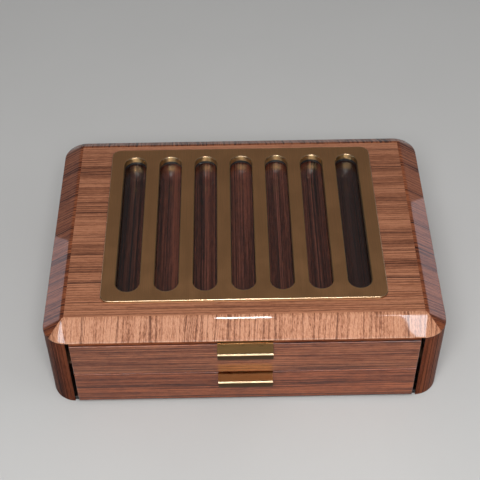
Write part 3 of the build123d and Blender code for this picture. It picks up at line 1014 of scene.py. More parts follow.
def grow(
    name: str, seed: bpy.types.Mesh, tree: Tree, finish: Finish, lengths: dict[str, float], **others: Any,
) -> Piece:
    """Runs a geometry node tree and keeps its result as a plain mesh.

    Args:
        name: the piece's name.
        seed: the mesh that the tree starts from.
        tree: the tree.
        finish: the material for its Finish input.
        lengths: its inputs in millimetres, named with underscores for blanks.
        **others: its other inputs.

    Returns:
        The piece, with no modifier left.
    """
    piece = new_piece(name, seed, [finish])
    modifier = piece.modifiers.new("make", "NODES")
    modifier.node_group = tree
    values = named({key: value * MM for key, value in lengths.items()} | others)
    values["Finish"] = finish.material()
    for item in tree.interface.items_tree:
        if item.in_out == "INPUT" and item.name in values:
            modifier[item.identifier] = values[item.name]
    apply_modifiers(piece)
    piece.data.materials.clear()
    piece.data.materials.append(finish.material())
    return piece


@cache
def screw_rule() -> Tree:
    """A countersunk slotted screw at every vertex, its head towards the turned Z axis.

    Returns:
        The geometry node tree.
    """
    rule = Rule(
        "countersunk_screws", Head_Radius=float, Shank_Radius=float, Length=float, Slot_Width=float,
        Slot_Depth=float, Turn=Vector,
    )
    entry = rule.entry
    height = rule.minus(entry["Head Radius"], entry["Shank Radius"])
    cone = rule.out("GeometryNodeMeshCone", {
        "Vertices": 28, "Radius Top": entry["Head Radius"], "Radius Bottom": entry["Shank Radius"],
        "Depth": height,
    })
    head = rule.moved(cone, rule.vector(z=rule.times(height, -1.0)))
    slot_length, slot_height = rule.times(entry["Head Radius"], 2.4), rule.times(entry["Slot Depth"], 2.0)
    slot_size = rule.vector(slot_length, entry["Slot Width"], slot_height)
    slot = rule.out("GeometryNodeMeshCube", {"Size": slot_size})
    head = rule.out("GeometryNodeMeshBoolean", {"Mesh 1": head, "Mesh 2": slot}, operation="DIFFERENCE")
    shank = rule.out("GeometryNodeMeshCylinder", {
        "Vertices": 20, "Radius": entry["Shank Radius"], "Depth": rule.minus(entry["Length"], height),
    })
    drop = rule.minus(rule.times(height, -0.5), rule.times(entry["Length"], 0.5))
    screw = rule.joined(head, rule.moved(shank, rule.vector(z=drop)))
    turn = rule.out("FunctionNodeEulerToRotation", {0: entry["Turn"]})
    return rule.painted(rule.placed(entry["Geometry"], screw, Rotation=turn))


@dataclass(frozen=True)
class ScrewKind:
    """One size of screw, in millimetres."""

    head_radius: float
    shank_radius: float
    length: float
    slot_width: float = 0.5
    slot_depth: float = 0.5

    def row(self, node: str, body: str, places: Iterable[Vector], turn: Vector) -> None:
        """Screws at their places instead of a CAD node's.

        Args:
            node: the CAD node that they stand for.
            body: the body that carries them.
            places: the middle of each head's top, in millimetres.
            turn: rotation from a head that faces up.
        """
        seed = bpy.data.meshes.new(node)
        seed.from_pydata([tuple(place * MM) for place in places], [], [])
        lengths = {name.title(): length for name, length in asdict(self).items()}
        piece = grow(f"{node}_row", seed, screw_rule(), SCREW_STEEL, lengths, Turn=turn)
        shade(piece)
        settle(piece, body, node)


FACING_DOWN = Vector((math.pi, 0, 0))
FACING_BACK = Vector((-math.pi / 2, 0, 0))
CASE_SCREW = ScrewKind(2.4, 1.5, 14.0)
FRAME_SCREW = ScrewKind(1.8, 0.9, 7.0)
HINGE_SCREW = ScrewKind(1.9, 1.1, 5.0)
PULL_SCREW = ScrewKind(2.2, 1.2, 9.0)

# Both hinges, in millimetres
HINGE_SPACING, LEAF_SCREW_SPAN = 190.0, 24.0
HINGE_PLACES = centred_row(2, HINGE_SPACING)
HINGE_SCREW_PLACES = [hinge + step for hinge in HINGE_PLACES for step in centred_row(3, LEAF_SCREW_SPAN)]
BACK_FACE = 121.0

# The drawer fronts' top edges, in millimetres
UPPER_FRONT_TOP, LOWER_FRONT_TOP = 79.9, 42.15

# How much of a normal points a way where a wall's face counts as facing it, and as level
FACING, LEVEL_FACE = 0.7, 0.9


class SubAssembly:
    """What every part of the case shares: its CAD nodes and the body that carries it."""

    def __init__(self, nodes: dict[str, Piece], body: str) -> None:
        """Keeps all CAD nodes by name, and the body that carries the pieces."""
        self.nodes = nodes
        self.body = body

    def dress(self, node: str, slot: str, finish: Finish, rounding: float = 0.0) -> Piece:
        """Puts a copy of a CAD node in its place, with soft edges and a finish.

        Args:
            node: the CAD node's name.
            slot: the record's material slot; not used.
            finish: its finish.
            rounding: of its sharp edges, in millimetres.

        Returns:
            The new piece.
        """
        piece = new_piece(f"{node}_dressed", merged_copy(self.nodes[node]), [finish])
        if rounding > 0:
            soften(piece, rounding)
        shade(piece)
        settle(piece, self.body, node)
        return piece


@dataclass(frozen=True)
class LidSizes:
    """Sizes of the lid, in millimetres."""

    width: float = 333.0
    depth: float = 242.0
    corner: float = 20.5
    run: float = 16.5
    flat_corner: float = 0.3
    top: float = 92.4
    lip_top: float = 81.2
    bottom: float = 80.3
    ridge_round: float = 2.0
    lip_round: float = 0.6
    bottom_round: float = 0.25
    window_offset: float = 3.8
    slot_count: int = 7
    slot_pitch: float = 32.5
    slot_width: float = 20.5
    slot_length: float = 163.0
    slot_wall: float = 1.2
    let_in: float = 0.15
    plate_width: float = 239.3
    plate_depth: float = 184.1
    plate_corner: float = 8.0
    plate_top: float = 94.2
    plate_bottom: float = 90.7
    plate_round: float = 0.55
    plate_rim: float = 0.6
    plate_border: float = 2.0
    gasket_top: float = 88.8
    glass_width: float = 238.5
    glass_depth: float = 186.0
    glass_bottom: float = 83.7
    glass_corner: float = 2.0
    frame_flange: float = 6.0
    frame_screw_head: float = 81.1
    frame_screw_inset: float = 15.0
    frame_side_screws: float = 66.0
    pocket_width: float = 36.1
    pocket_front: float = 109.45
    pocket_back: float = 120.05
    pocket_depth: float = 1.05
    hinge_screw_inset: float = 7.6
    corner_steps: int = 16
    well_steps: int = 8


class Zone(Enum):
    """Material numbers of the lid panel."""

    TOP = 0
    FRONT = 1
    SIDE = 2
    HIDDEN = 3
    BACK = 4


class PlateZone(Enum):
    """Material numbers of the window plate."""

    TOP = 0
    RIM = 1
    WALL = 2


class Lid(SubAssembly):
    """The hinged lid: panel, brass window plate, glass and what holds it."""

    def __init__(self, nodes: dict[str, Piece]) -> None:
        """Takes the CAD nodes.

        Args:
            nodes: all CAD nodes by name.
        """
        super().__init__(nodes, "lid")
        self.size = LidSizes()
        reach = self.size.slot_pitch * (self.size.slot_count - 1)
        self.window_places = centred_row(self.size.slot_count, reach)

    def zone(self, index: int) -> int:
        """The zone of a face by its place in a ring, which starts in the right front corner.

        Args:
            index: the face's number in the ring.

        Returns:
            The zone's material number.
        """
        steps = self.size.corner_steps
        corner, within = divmod(index, steps + 1)
        runs = (Zone.FRONT, Zone.SIDE, Zone.BACK, Zone.SIDE)
        return runs[(corner + (within >= steps // 2)) % len(runs)].value

    def outside_rings(self, shell: Shell) -> list[Ring]:
        """Rings from the underside's edge up over the lip and the bevel to the flat top.

        Args:
            shell: the mesh to add them to.

        Returns:
            The rings, lowest first.
        """
        size = self.size
        rise = size.top - size.lip_top
        slope = math.hypot(size.run, rise)

        def inset(amount: float, corner: float, z: float) -> Loop:
            """The lid's outline moved in, at a height."""
            width, depth = size.width - 2 * amount, size.depth - 2 * amount
            return at_height(rounded_outline(width, depth, corner, 0.0, size.corner_steps), z)

        def lip(amount: float, z: float) -> Loop:
            """The lip's outline moved in, with corners about the same middle."""
            return inset(amount, size.corner - amount, z)

        foot, flat = lip(0.0, size.lip_top), inset(size.run, size.flat_corner, size.top)
        inner = inset(size.run + size.ridge_round, size.flat_corner, size.top)

        def on_bevel(share: float) -> Loop:
            """A ring part of the way up the bevel."""
            z = size.lip_top + share * rise
            return [Vector((*low.lerp(high, share).xy, z)) for low, high in zip(foot, flat)]

        lip_end, bevel_start = lip(0.0, size.lip_top - size.lip_round), on_bevel(size.lip_round / slope)
        bevel_end = on_bevel(1 - size.ridge_round / slope)
        start = 0.3 * size.bottom_round
        outlines = [
            lip(size.bottom_round, size.bottom), lip(start, size.bottom + start),
            lip(0.0, size.bottom + size.bottom_round), lip_end,
            *(bent(lip_end, foot, bevel_start, step / 3) for step in (1, 2)), bevel_start,
            *(on_bevel(share) for share in (0.25, 0.5, 0.75)),
            *(bent(bevel_end, flat, inner, step / 5) for step in range(6)),
        ]
        return [shell.ring(points) for points in outlines]

    def wells(self, shell: Shell) -> tuple[Ring, Ring]:
        """The plate's rebate, the windows and the pocket for the glass, one below the other.

        Args:
            shell: the mesh to add them to.

        Returns:
            The rings at the lid's top and at its underside.
        """
        size, hidden = self.size, Zone.HIDDEN.value
        room, flange = 2 * size.let_in, 2 * size.frame_flange

        def well(width: float, depth: float, corner: float, top: float, bottom: float) -> tuple[Ring, Ring]:
            """A wall round a piece that is let in about the windows' middle, with room for it.

            Args:
                width: the piece's width.
                depth: its depth.
                corner: its corners' radius.
                top: the wall's upper edge.
                bottom: its lower edge.

            Returns:
                Its upper and its lower ring.
            """
            outline = rounded_outline(
                width + room, depth + room, corner + size.let_in, size.window_offset, size.well_steps,
            )
            return shell.wall(outline, top, bottom, hidden)

        rebate = well(size.plate_width, size.plate_depth, size.plate_corner, size.top, size.plate_bottom)
        width, length = (side + 2 * size.slot_wall + room for side in (size.slot_width, size.slot_length))
        outlines = [capsule(x, width, length, size.window_offset) for x in self.window_places]
        windows = [shell.wall(outline, size.plate_bottom, size.gasket_top, hidden) for outline in outlines]
        glass = well(
            size.glass_width, size.glass_depth, size.glass_corner, size.gasket_top, size.glass_bottom,
        )
        frame = well(
            size.glass_width + flange, size.glass_depth + flange, size.glass_corner, size.glass_bottom,
            size.bottom,
        )
        shell.plate(rebate[1], [top for top, _ in windows], hidden)
        shell.plate(glass[0], [bottom for _, bottom in windows], hidden)
        shell.plate(frame[0], [glass[1]], hidden)
        return rebate[0], frame[1]

    def panel(self) -> None:
        """The wooden panel with the plate's rebate, the windows and the pockets below."""
        size, hidden = self.size, Zone.HIDDEN.value
        shell = Shell()
        rings = self.outside_rings(shell)
        for lower, upper in zip(rings, rings[1:]):
            shell.skin(lower, upper, self.zone)
        rebate_edge, frame_edge = self.wells(shell)
        shell.plate(rings[-1], [rebate_edge], Zone.TOP.value)
        pockets = []
        for place in HINGE_PLACES:
            left, right = (place + side * size.pocket_width / 2 for side in (-1, 1))
            front, back = size.pocket_front, size.pocket_back
            places = ((left, front), (right, front), (right, back), (left, back))
            corners = [Vector((x, y, 0)) for x, y in places]
            floor, edge = shell.wall(corners, size.bottom + size.pocket_depth, size.bottom, hidden)
            shell.plate(floor, (), hidden)
            pockets.append(edge)
        shell.plate(rings[0], [frame_edge, *pockets], hidden)
        finishes = [TOP_VENEER, FRONT_BEVEL_VENEER, SIDE_BEVEL_VENEER, BLACK_LACQUER, BACK_BEVEL_VENEER]
        piece = new_piece("lid_panel_veneered", shell.close("lid_panel"), finishes)
        shade(piece, angle=24.0)
        settle(piece, self.body, "lid_panel")

    def plate_rule(self) -> Tree:
        """A plate with a row of equal windows, each with a wall below it.

        Returns:
            The geometry node tree.
        """
        rule = Rule(
            "window_plate", Width=float, Depth=float, Corner=float, Top=float, Thickness=float, Offset=float,
            Window_Width=float, Window_Length=float, Wall=float, Wall_Height=float, Count=int, Pitch=float,
        )
        entry, vector = rule.entry, rule.vector
        top, pitch = entry["Top"], entry["Pitch"]

        def outline(width: Any, depth: Any, radius: Any, count: int) -> Socket:
            """A rounded rectangle.

            Args:
                width: along X.
                depth: along Y.
                radius: of its corners.
                count: the steps of each.

            Returns:
                The curve's socket.
            """
            shape = rule.out("GeometryNodeCurvePrimitiveQuadrilateral", {"Width": width, "Height": depth})
            feeds = {"Curve": shape, "Count": count, "Radius": radius, "Limit Radius": True}
            return rule.out("GeometryNodeFilletCurve", feeds, mode="POLY")

        first = rule.times(rule.times(rule.minus(entry["Count"], 1.0), pitch), -0.5)
        feeds = {"Count": entry["Count"], "Start Location": vector(first), "Offset": vector(pitch)}
        line = rule.out("GeometryNodeMeshLine", feeds, mode="OFFSET")

        def windows(growth: Any) -> Socket:
            """Every window's outline.

            Args:
                growth: how much larger it is on each side.

            Returns:
                The curves' socket.
            """
            twice = rule.times(growth, 2.0)
            width, length = (rule.plus(entry[side], twice) for side in ("Window Width", "Window Length"))
            shape = outline(width, length, rule.times(width, 0.4999), 14)
            return rule.out("GeometryNodeRealizeInstances", {0: rule.placed(line, shape)})

        def filled(z: Any, *curves: Socket) -> Socket:
            """A flat face with holes at a height."""
            face = rule.out("GeometryNodeFillCurve", {"Curve": rule.joined(*curves)}, mode="NGONS")
            return rule.moved(face, vector(z=z))

        def walls(curves: Socket, z: Any, fall: Any) -> Socket:
            """Upright walls that hang down from an outline.

            Args:
                curves: the outline.
                z: its height.
                fall: how far down they go.

            Returns:
                The mesh's socket.
            """
            wires = rule.moved(rule.out("GeometryNodeCurveToMesh", {"Curve": curves}), vector(z=z))
            feeds = {"Mesh": wires, "Offset": vector(z=rule.times(fall, -1.0)), "Offset Scale": 1.0}
            return rule.out("GeometryNodeExtrudeMesh", feeds, mode="EDGES")

        edge = outline(entry["Width"], entry["Depth"], entry["Corner"], 10)
        inner, outer = windows(0.0), windows(entry["Wall"])
        under, foot = rule.minus(top, entry["Thickness"]), rule.minus(top, entry["Wall Height"])
        parts = rule.joined(
            filled(top, edge, inner), filled(under, edge, outer), filled(foot, outer, inner),
            walls(edge, top, entry["Thickness"]), walls(inner, top, entry["Wall Height"]),
            walls(outer, under, rule.minus(under, foot)),
        )
        feeds = {"Geometry": rule.moved(parts, vector(y=entry["Offset"])), "Distance": 2e-6}
        return rule.painted(rule.out("GeometryNodeMergeByDistance", feeds))

    def plate_zone(self, face: bmesh.types.BMFace) -> PlateZone:
        """Which brass a face of the window plate has.

        Args:
            face: the face, in metres.

        Returns:
            The zone.
        """
        middle, top = face.calc_center_median(), self.size.plate_top * MM
        if face.normal.z > 0.999 and middle.z > top - 1e-5:
            return PlateZone.TOP
        # Sideways faces in the windows, rim included, take the darker wall brass as painted shade
        faces_sideways = abs(face.normal.x) > 1.5 * abs(face.normal.y)
        in_window = abs(middle.x) < (self.size.plate_width / 2 - self.size.plate_border) * MM
        at_rim = middle.z > top - self.size.plate_rim * MM
        return PlateZone.RIM if at_rim and not (faces_sideways and in_window) else PlateZone.WALL

    def plate(self) -> None:
        """The brass plate: satin on top, polished on its rounded edges, and darker on the window walls and
        the windows' side rims as painted shade.
        """
        size = self.size
        top = size.plate_top * MM
        lengths = dict(
            Width=size.plate_width, Depth=size.plate_depth, Corner=size.plate_corner, Top=size.plate_top,
            Thickness=size.plate_top - size.plate_bottom, Offset=size.window_offset,
            Window_Width=size.slot_width, Window_Length=size.slot_length, Wall=size.slot_wall,
            Wall_Height=size.plate_top - size.gasket_top, Pitch=size.slot_pitch,
        )
        seed, rule = bpy.data.meshes.new("window_plate"), self.plate_rule()
        piece = grow("window_plate_satin", seed, rule, PLATE_BRASS, lengths, Count=size.slot_count)
        work = bmesh.new()
        work.from_mesh(piece.data)
        bmesh.ops.recalc_face_normals(work, faces=work.faces)
        rims = [
            edge for edge in work.edges
            if all(abs(vertex.co.z - top) < SAME_POINT for vertex in edge.verts)
            and any(abs(face.normal.z) < 0.5 for face in edge.link_faces)
        ]
        bmesh.ops.bevel(
            work, geom=rims, offset=size.plate_round * MM, offset_type="OFFSET", segments=4, profile=0.5,
            affect="EDGES",
        )
        for face in work.faces:
            face.material_index = self.plate_zone(face).value
        work.to_mesh(piece.data)
        work.free()
        for finish in (RIM_BRASS, WALL_BRASS_PAINTED_SHADE):
            piece.data.materials.append(finish.material())
        shade(piece, angle=28.0)
        settle(piece, self.body, "window_plate")

    def frame_screws(self) -> None:
        """The screws round the glass frame's flange."""
        size, flange = self.size, self.size.frame_flange
        middle, z = size.window_offset, size.frame_screw_head
        flange_x, flange_y = ((side + flange) / 2 for side in (size.glass_width, size.glass_depth))
        along_x = centred_row(4, size.glass_width + 2 * flange - 2 * size.frame_screw_inset)
        along_y = centred_row(2, size.frame_side_screws)
        places = [Vector((x, middle + side * flange_y, z)) for side in (-1, 1) for x in along_x]
        places += [Vector((side * flange_x, middle + y, z)) for side in (-1, 1) for y in along_y]
        FRAME_SCREW.row("glass_frame_screws", self.body, places, FACING_DOWN)

    def build(self) -> None:
        """Builds and dresses every piece of the lid."""
        self.panel()
        self.plate()
        self.dress("glass_gasket", "black_gasket", GASKET_RUBBER)
        self.dress("glass_pane", "clear_glass", GLASS, rounding=0.2)
        self.dress("glass_frame", "black_lacquer", BLACK_LACQUER, rounding=0.25)
        self.dress("hinge_lid_leaves", "hinge_brass", HINGE_BRASS)
        self.frame_screws()
        y = BACK_FACE - self.size.hinge_screw_inset
        heads = [Vector((x, y, self.size.bottom)) for x in HINGE_SCREW_PLACES]
        HINGE_SCREW.row("hinge_lid_screws", self.body, heads, FACING_DOWN)


@dataclass(frozen=True)
class CarcassSizes:
    """Places of the carcass's screws, in millimetres."""

    screw_head: float = 0.8
    side_screw_x: float = 149.9
    side_screw_run: float = 192.0
    back_screw_y: float = 112.0
    back_screw_run: float = 146.9
    hinge_screw_z: float = 70.35


class Carcass(SubAssembly):
    """What stands still: the walls, the base, the shelf, the tray and the hinges' case leaves."""

    def __init__(self, nodes: dict[str, Piece]) -> None:
        """Takes the CAD nodes."""
        super().__init__(nodes, "case")
        self.size = CarcassSizes()

    def wall(self, name: str, finish: Finish, rounding: float, hidden: Callable[[Vector], bool]) -> None:
        """A wall that is veneered outside and lacquered black inside.

        Args:
            name: the CAD node's name.
            finish: its veneer.
            rounding: of its edges, in millimetres.
            hidden: whether a face with this normal is lacquered.
        """
        piece = self.dress(name, "lacquered_veneer", finish, rounding)
        piece.data.materials.append(BLACK_LACQUER.material())
        for face in piece.data.polygons:
            face.material_index = int(hidden(face.normal))

    def base_screws(self) -> None:
        """The screws that hold the base board up to the walls."""
        size, z = self.size, self.size.screw_head
        along_x, along_y = centred_row(3, size.back_screw_run), centred_row(4, size.side_screw_run)
        places = [Vector((side * size.side_screw_x, y, z)) for side in (-1, 1) for y in along_y]
        places += [Vector((x, size.back_screw_y, z)) for x in along_x]
        CASE_SCREW.row("base_screws", self.body, places, FACING_DOWN)

    def build(self) -> None:
        """Builds and dresses every piece of the carcass."""
        for side, inward in (("left", 1.0), ("right", -1.0)):
            self.wall(
                f"{side}_side_wall", POST_VENEER, 0.5,
                lambda normal: normal.x * inward > FACING or abs(normal.z) > LEVEL_FACE,
            )
        self.wall("back_wall", BACK_VENEER, 0.3, lambda normal: normal.y < -FACING)
        self.dress("base_board", "black_lacquer", BLACK_LACQUER, rounding=0.4)
        self.dress("base_felt", "felt", FELT)
        self.dress("drawer_shelf", "drawer_wood", DRAWER_WOOD, rounding=0.2)
        self.dress("drawer_guides", "drawer_wood", DRAWER_WOOD, rounding=0.3)
        self.dress("display_tray", "tray_wood", TRAY_WOOD)
        self.dress("hinge_case_leaves", "hinge_brass", HINGE_BRASS)
        self.dress("hinge_pins", "hinge_brass", HINGE_BRASS)
        self.base_screws()
        heads = [Vector((x, BACK_FACE, self.size.hinge_screw_z)) for x in HINGE_SCREW_PLACES]
        HINGE_SCREW.row("hinge_case_screws", self.body, heads, FACING_BACK)


@dataclass(frozen=True)
class BedSizes:
    """Sizes of a drawer's grooved bed for pens, in millimetres."""

    grooves: int = 9
    radius: float = 11.5
    depth: float = 8.5
    length: float = 172.0
    edge: float = 0.7
    edge_steps: int = 3
    arc_steps: int = 22


@dataclass(frozen=True)
class PullSizes:
    """Sizes of a drawer pull, in millimetres."""

    width: float = 45.6
    rim: float = -134.5
    back: float = -112.0
    sheet: float = 1.6
    lip: float = 5.8
    leg: float = 14.0
    bend: float = 2.2
    drop: float = 0.8
    lip_corner: float = 1.4
    edge: float = 0.22
    screw_spacing: float = 28.0


# Finish numbers of a pull's faces, round its section from the back leg's foot
PULL_ZONES = (0,) * 2 + (1,) * 5 + (2,) * 6 + (0,) * 7


class Drawer(SubAssembly):
    """One drawer: front, pull, doweled box and its bed for pens."""

    def __init__(
        self, nodes: dict[str, Piece], level: Level, front_top: float, veneer: Veneer, brass: BrushedBrass,
    ) -> None:
        """Takes the CAD nodes.

        Args:
            nodes: all CAD nodes by name.
            level: which drawer.
            front_top: height of the front's top edge, in millimetres.
            veneer: the front's finish.
            brass: the pull's finish.
        """
        self.word = level.value
        super().__init__(nodes, f"{self.word}_drawer")
        self.front_top = front_top
        self.veneer = veneer
        self.brass = brass
        self.pull_size = PullSizes()
        self.bed_size = BedSizes()

    def groove_section(self) -> list[tuple[float, float]]:
        """A groove's section from its left edge to its right one.

        Returns:
            Points as distances from the groove's middle and from the bed's top, in millimetres.
        """
        size = self.bed_size
        sink = size.radius - size.depth
        slope = math.acos((sink + size.edge) / (size.radius + size.edge))
        reach = (size.radius + size.edge) * math.sin(slope)
        edge = []
        for step in range(size.edge_steps + 1):
            angle = slope * step / size.edge_steps
            edge.append((size.edge * math.sin(angle) - reach, size.edge * math.cos(angle) - size.edge))
        section = list(edge)
        for step in range(1, size.arc_steps):
            angle = -slope + 2 * slope * step / size.arc_steps
            section.append((size.radius * math.sin(angle), sink - size.radius * math.cos(angle)))
        return section + [(-x, z) for x, z in reversed(edge)]

    def pen_bed(self) -> None:
        """The velvet bed: a block with round-bottomed grooves whose upper edges are rounded over."""
        name = f"{self.word}_pen_insert"
        size = self.bed_size
        low, high = (Vector(corner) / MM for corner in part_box(name))
        ends = [(low.y + high.y) / 2 + side * size.length / 2 for side in (-1, 1)]
        pitch = (high.x - low.x) / size.grooves
        section = self.groove_section()
        shell = Shell()
        corners = [Vector((x, y, 0)) for x, y in ((low.x, low.y), (high.x, low.y), high.xy, (low.x, high.y))]
        rim, floor = shell.wall(corners, high.z, low.z)
        shell.plate(floor)
        holes = []
        for x in centred_row(size.grooves, pitch * (size.grooves - 1)):
            near, far = (shell.ring([Vector((x + dx, y, high.z + dz)) for dx, dz in section]) for y in ends)
            for index in range(len(section) - 1):
                shell.work.faces.new((near[index], near[index + 1], far[index + 1], far[index]))
            shell.plate(near)
            shell.plate(far)
            holes.append([near[0], near[-1], far[-1], far[0]])
        shell.plate(rim, holes)
        piece = new_piece(f"{name}_dressed", shell.close(name), [VELVET])
        shade(piece, angle=50.0)
        settle(piece, self.body, name)

    def pull(self) -> None:
        """The pull, bent from one sheet: brushed plate, polished bend and round-cornered lip, painted dark
        as painted shade and a painted reflection of a dark surround.
        """
        size = self.pull_size
        top = self.front_top - size.drop
        back, leg = size.back, top - size.leg

        def quarter(radius: float, start: float, turn: float, steps: int) -> list[tuple[float, float]]:
            """Points round the bend.

            Args:
                radius: about the bend's middle.
                start: the first point's angle, in degrees.
                turn: from the first to the last point.
                steps: how many steps that takes.

            Returns:
                Each point's Y and Z.
            """
            angles = [math.radians(start + turn * step / steps) for step in range(steps + 1)]
            centre_y, centre_z = size.rim + size.bend, top - size.bend
            return [(centre_y + radius * math.cos(a), centre_z + radius * math.sin(a)) for a in angles]

        shell = Shell()
        corner = []
        for step in range(7):
            angle = math.radians(90 * step / 6)
            x = size.width / 2 - size.lip_corner * (1 - math.cos(angle))
            corner.append((x, size.lip_corner * (1 - math.sin(angle))))
        rings = []
        for x, lift in [(-x, lift) for x, lift in corner] + corner[::-1]:
            foot = top - size.lip + lift
            section = [
                (back, leg), (back, top), *quarter(size.bend, 90, 90, 8), (size.rim, foot),
                (size.rim + size.sheet, foot), *quarter(size.bend - size.sheet, 180, -90, 4),
                (back - size.sheet, top - size.sheet), (back - size.sheet, leg),
            ]
            rings.append(shell.ring([Vector((x, y, z)) for y, z in section]))
        for lower, upper in zip(rings, rings[1:]):
            shell.skin(lower, upper, PULL_ZONES.__getitem__)
        for ring in (rings[0], rings[-1]):
            shell.plate(ring)
        name = f"{self.word}_drawer_pull"
        piece = new_piece(f"{name}_dressed", shell.close(name), [self.brass, PULL_RIM_BRASS, LIP_PAINTED_SHADE])
        soften(piece, size.edge, angle=60.0)
        shade(piece)
        settle(piece, self.body, name)

    def build(self) -> None:
        """Builds and dresses every piece of the drawer."""
        self.dress(f"{self.word}_drawer_front", "lacquered_veneer", self.veneer, rounding=0.9)
        for part in ("left_side", "right_side", "back", "bottom"):
            self.dress(f"{self.word}_drawer_{part}", "drawer_wood", DRAWER_WOOD, rounding=0.3)
        self.dress(f"{self.word}_drawer_dowels", "dowel_wood", DOWEL_WOOD)
        self.pen_bed()
        self.pull()
        size = self.pull_size
        screw_z = self.front_top - size.drop - (size.sheet + size.leg) / 2
        heads = [Vector((x, size.back, screw_z)) for x in centred_row(2, size.screw_spacing)]
        PULL_SCREW.row(f"{self.word}_pull_screws", self.body, heads, FACING_BACK)


@dataclass(frozen=True)
class Softbox:
    """A lamp of one colour with a plain radiance, in metres."""

    name: str
    place: Colour
    aim: Colour
    width: float
    height: float
    radiance: float
    glossy_only: bool = True
    spread: float = 180.0
    colour: Colour = (1.0, 1.0, 1.0)

    def build(self) -> None:
        """Adds the lamp to the scene."""
        lamp = bpy.data.lights.new(self.name, "AREA")
        lamp.shape = "RECTANGLE"
        lamp.size, lamp.size_y = self.width, self.height
        lamp.energy = self.radiance * math.pi * self.width * self.height
        lamp.color = self.colour
        lamp.spread = math.radians(self.spread)
        piece = bpy.data.objects.new(self.name, lamp)
        bpy.context.scene.collection.objects.link(piece)
        turn = (Vector(self.aim) - Vector(self.place)).to_track_quat("-Z", "Y")
        piece.matrix_world = Matrix.Translation(self.place) @ turn.to_matrix().to_4x4()
        piece.visible_camera = False
        piece.visible_diffuse = not self.glossy_only
        piece.visible_glossy = self.glossy_only
        piece.visible_transmission = self.glossy_only


COOL = (0.90, 1.0, 1.10)
VIOLET = (1.0, 0.93, 1.07)
CENTRE = (0.0, 0.0, 0.08)
LAMPS = (
    Softbox("key", (-0.05, -0.70, 0.95), CENTRE, 0.5, 0.4, 14.0, glossy_only=False),
    Softbox("fill", (1.1, -0.5, 0.9), CENTRE, 0.8, 0.8, 1.25, glossy_only=False),
    Softbox("front_fill", (0.20, -0.60, 0.22), (0.08, -0.12, 0.05), 0.1, 0.1, 0.36, False, 28.0),
    Softbox("right_card", (0.333, -0.633, 1.05), (0.130, -0.115, 0.087), 0.07, 0.34, 8.5, colour=COOL),
    Softbox("left_card", (-0.60, -0.65, 1.02), (-0.155, -0.115, 0.087), 0.52, 0.24, 7.5, colour=COOL),
    Softbox("overhead_card", (0.008, -0.43, 1.14), (0.008, -0.105, 0.09), 0.10, 0.36, 40.0),
    Softbox("front_card", (0.0, -1.01, 0.86), (0.0, -0.12, 0.06), 0.9, 0.36, 10.0),
    Softbox("right_wall", (1.375, 0.862, 0.25), (0.15, 0.0, 0.09), 0.52, 0.40, 0.95, colour=VIOLET),
    Softbox("left_wall", (-1.38, 0.815, 0.25), (-0.15, 0.0, 0.09), 0.46, 0.40, 0.95, colour=VIOLET),
)


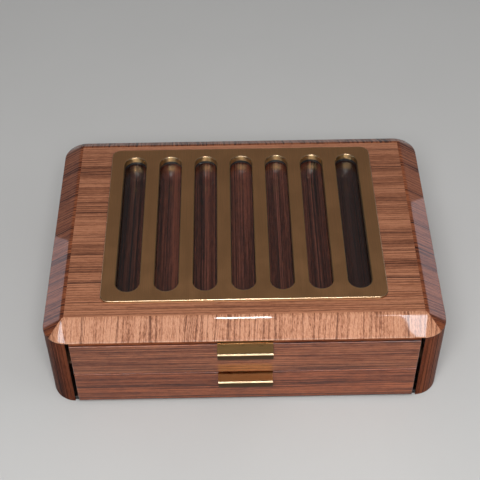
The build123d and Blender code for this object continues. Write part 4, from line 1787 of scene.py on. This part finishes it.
class Studio:
    """Floor, world, lamps and the camera of the reference view."""

    CAMERA_PLACE = Vector((-0.00750, -0.66110, 0.78248))
    CAMERA_RIGHT = Vector((0.99983, -0.01656, -0.00798))
    CAMERA_UP = Vector((0.01756, 0.73235, 0.68070))
    LENS = 81.37
    SENSOR = 36.0
    AMBIENT = 0.34
    BACKGROUND_GAIN = 0.5
    HORIZON_MIRRORED, SKY_MIRRORED = 0.22, 0.12
    LOW_SKY, HIGH_SKY = 0.3, 0.5

    def camera(self) -> None:
        """The camera of the reference view."""
        camera = bpy.data.cameras.new("reference_view")
        camera.lens, camera.sensor_width = self.LENS, self.SENSOR
        camera.clip_start, camera.clip_end = 0.01, 50.0
        piece = bpy.data.objects.new("reference_view", camera)
        bpy.context.scene.collection.objects.link(piece)
        right = self.CAMERA_RIGHT.normalized()
        back = right.cross(self.CAMERA_UP).normalized()
        turn = Matrix((right, back.cross(right), back)).transposed().to_4x4()
        piece.matrix_world = Matrix.Translation(self.CAMERA_PLACE) @ turn
        bpy.context.scene.camera = piece

    def floor(self) -> None:
        """A pale floor that goes far beyond the view."""
        work = bmesh.new()
        bmesh.ops.create_grid(work, x_segments=1, y_segments=1, size=6.0)
        piece = new_piece("floor", mesh_of(work, "floor"), [FLOOR_PAINT])
        piece.location.z = -0.0002

    def world(self) -> None:
        """Even light for diffuse rays, a pale background, and a gradient for reflections."""
        world = bpy.data.worlds.new("studio_world")
        bpy.context.scene.world = world
        world.use_nodes = True
        board = Board(world.node_tree)
        direction = board.put("ShaderNodeTexCoord").outputs["Generated"]
        height = board.put("ShaderNodeSeparateXYZ", {0: direction}).outputs[2]
        path = board.put("ShaderNodeLightPath").outputs
        through = board.times(path["Is Transmission Ray"], board.math("LESS_THAN", height, self.LOW_SKY))
        above = board.minus(path["Is Transmission Ray"], through)
        mirrored = board.math("MAXIMUM", path["Is Glossy Ray"], above)
        glossy = board.spread(height, 0.0, self.HIGH_SKY, self.HORIZON_MIRRORED, self.SKY_MIRRORED)
        level = board.plus(board.times(mirrored, board.minus(glossy, self.AMBIENT)), self.AMBIENT)
        seen = board.math("MAXIMUM", path["Is Camera Ray"], through)
        level = board.plus(level, board.times(seen, self.BACKGROUND_GAIN))
        board.feed(board.find("BACKGROUND"), {"Strength": level, "Color": (1.0, 1.0, 1.0, 1.0)})

    def build(self) -> None:
        """Sets up the studio. The key lamp and the fills light the object; the other lamps are mirrored."""
        self.camera()
        self.floor()
        self.world()
        for lamp in LAMPS:
            lamp.build()
        bpy.context.scene.view_settings.view_transform = "Standard"


def main() -> None:
    """Builds the case sub-assembly by sub-assembly, then the studio."""
    logging.basicConfig(level=logging.INFO, format="%(name)s %(message)s")
    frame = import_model()
    nodes = frame["nodes"]
    Carcass(nodes).build()
    Lid(nodes).build()
    Drawer(nodes, Level.UPPER, UPPER_FRONT_TOP, FRONT_VENEER, UPPER_PULL_BRASS_PAINTED_LIGHT).build()
    Drawer(nodes, Level.LOWER, LOWER_FRONT_TOP, LOWER_FRONT_PAINTED_SHADE_VENEER, LOWER_PULL_BRASS_PAINTED_SHADE).build()
    Studio().build()


if __name__ == "__main__":
    main()
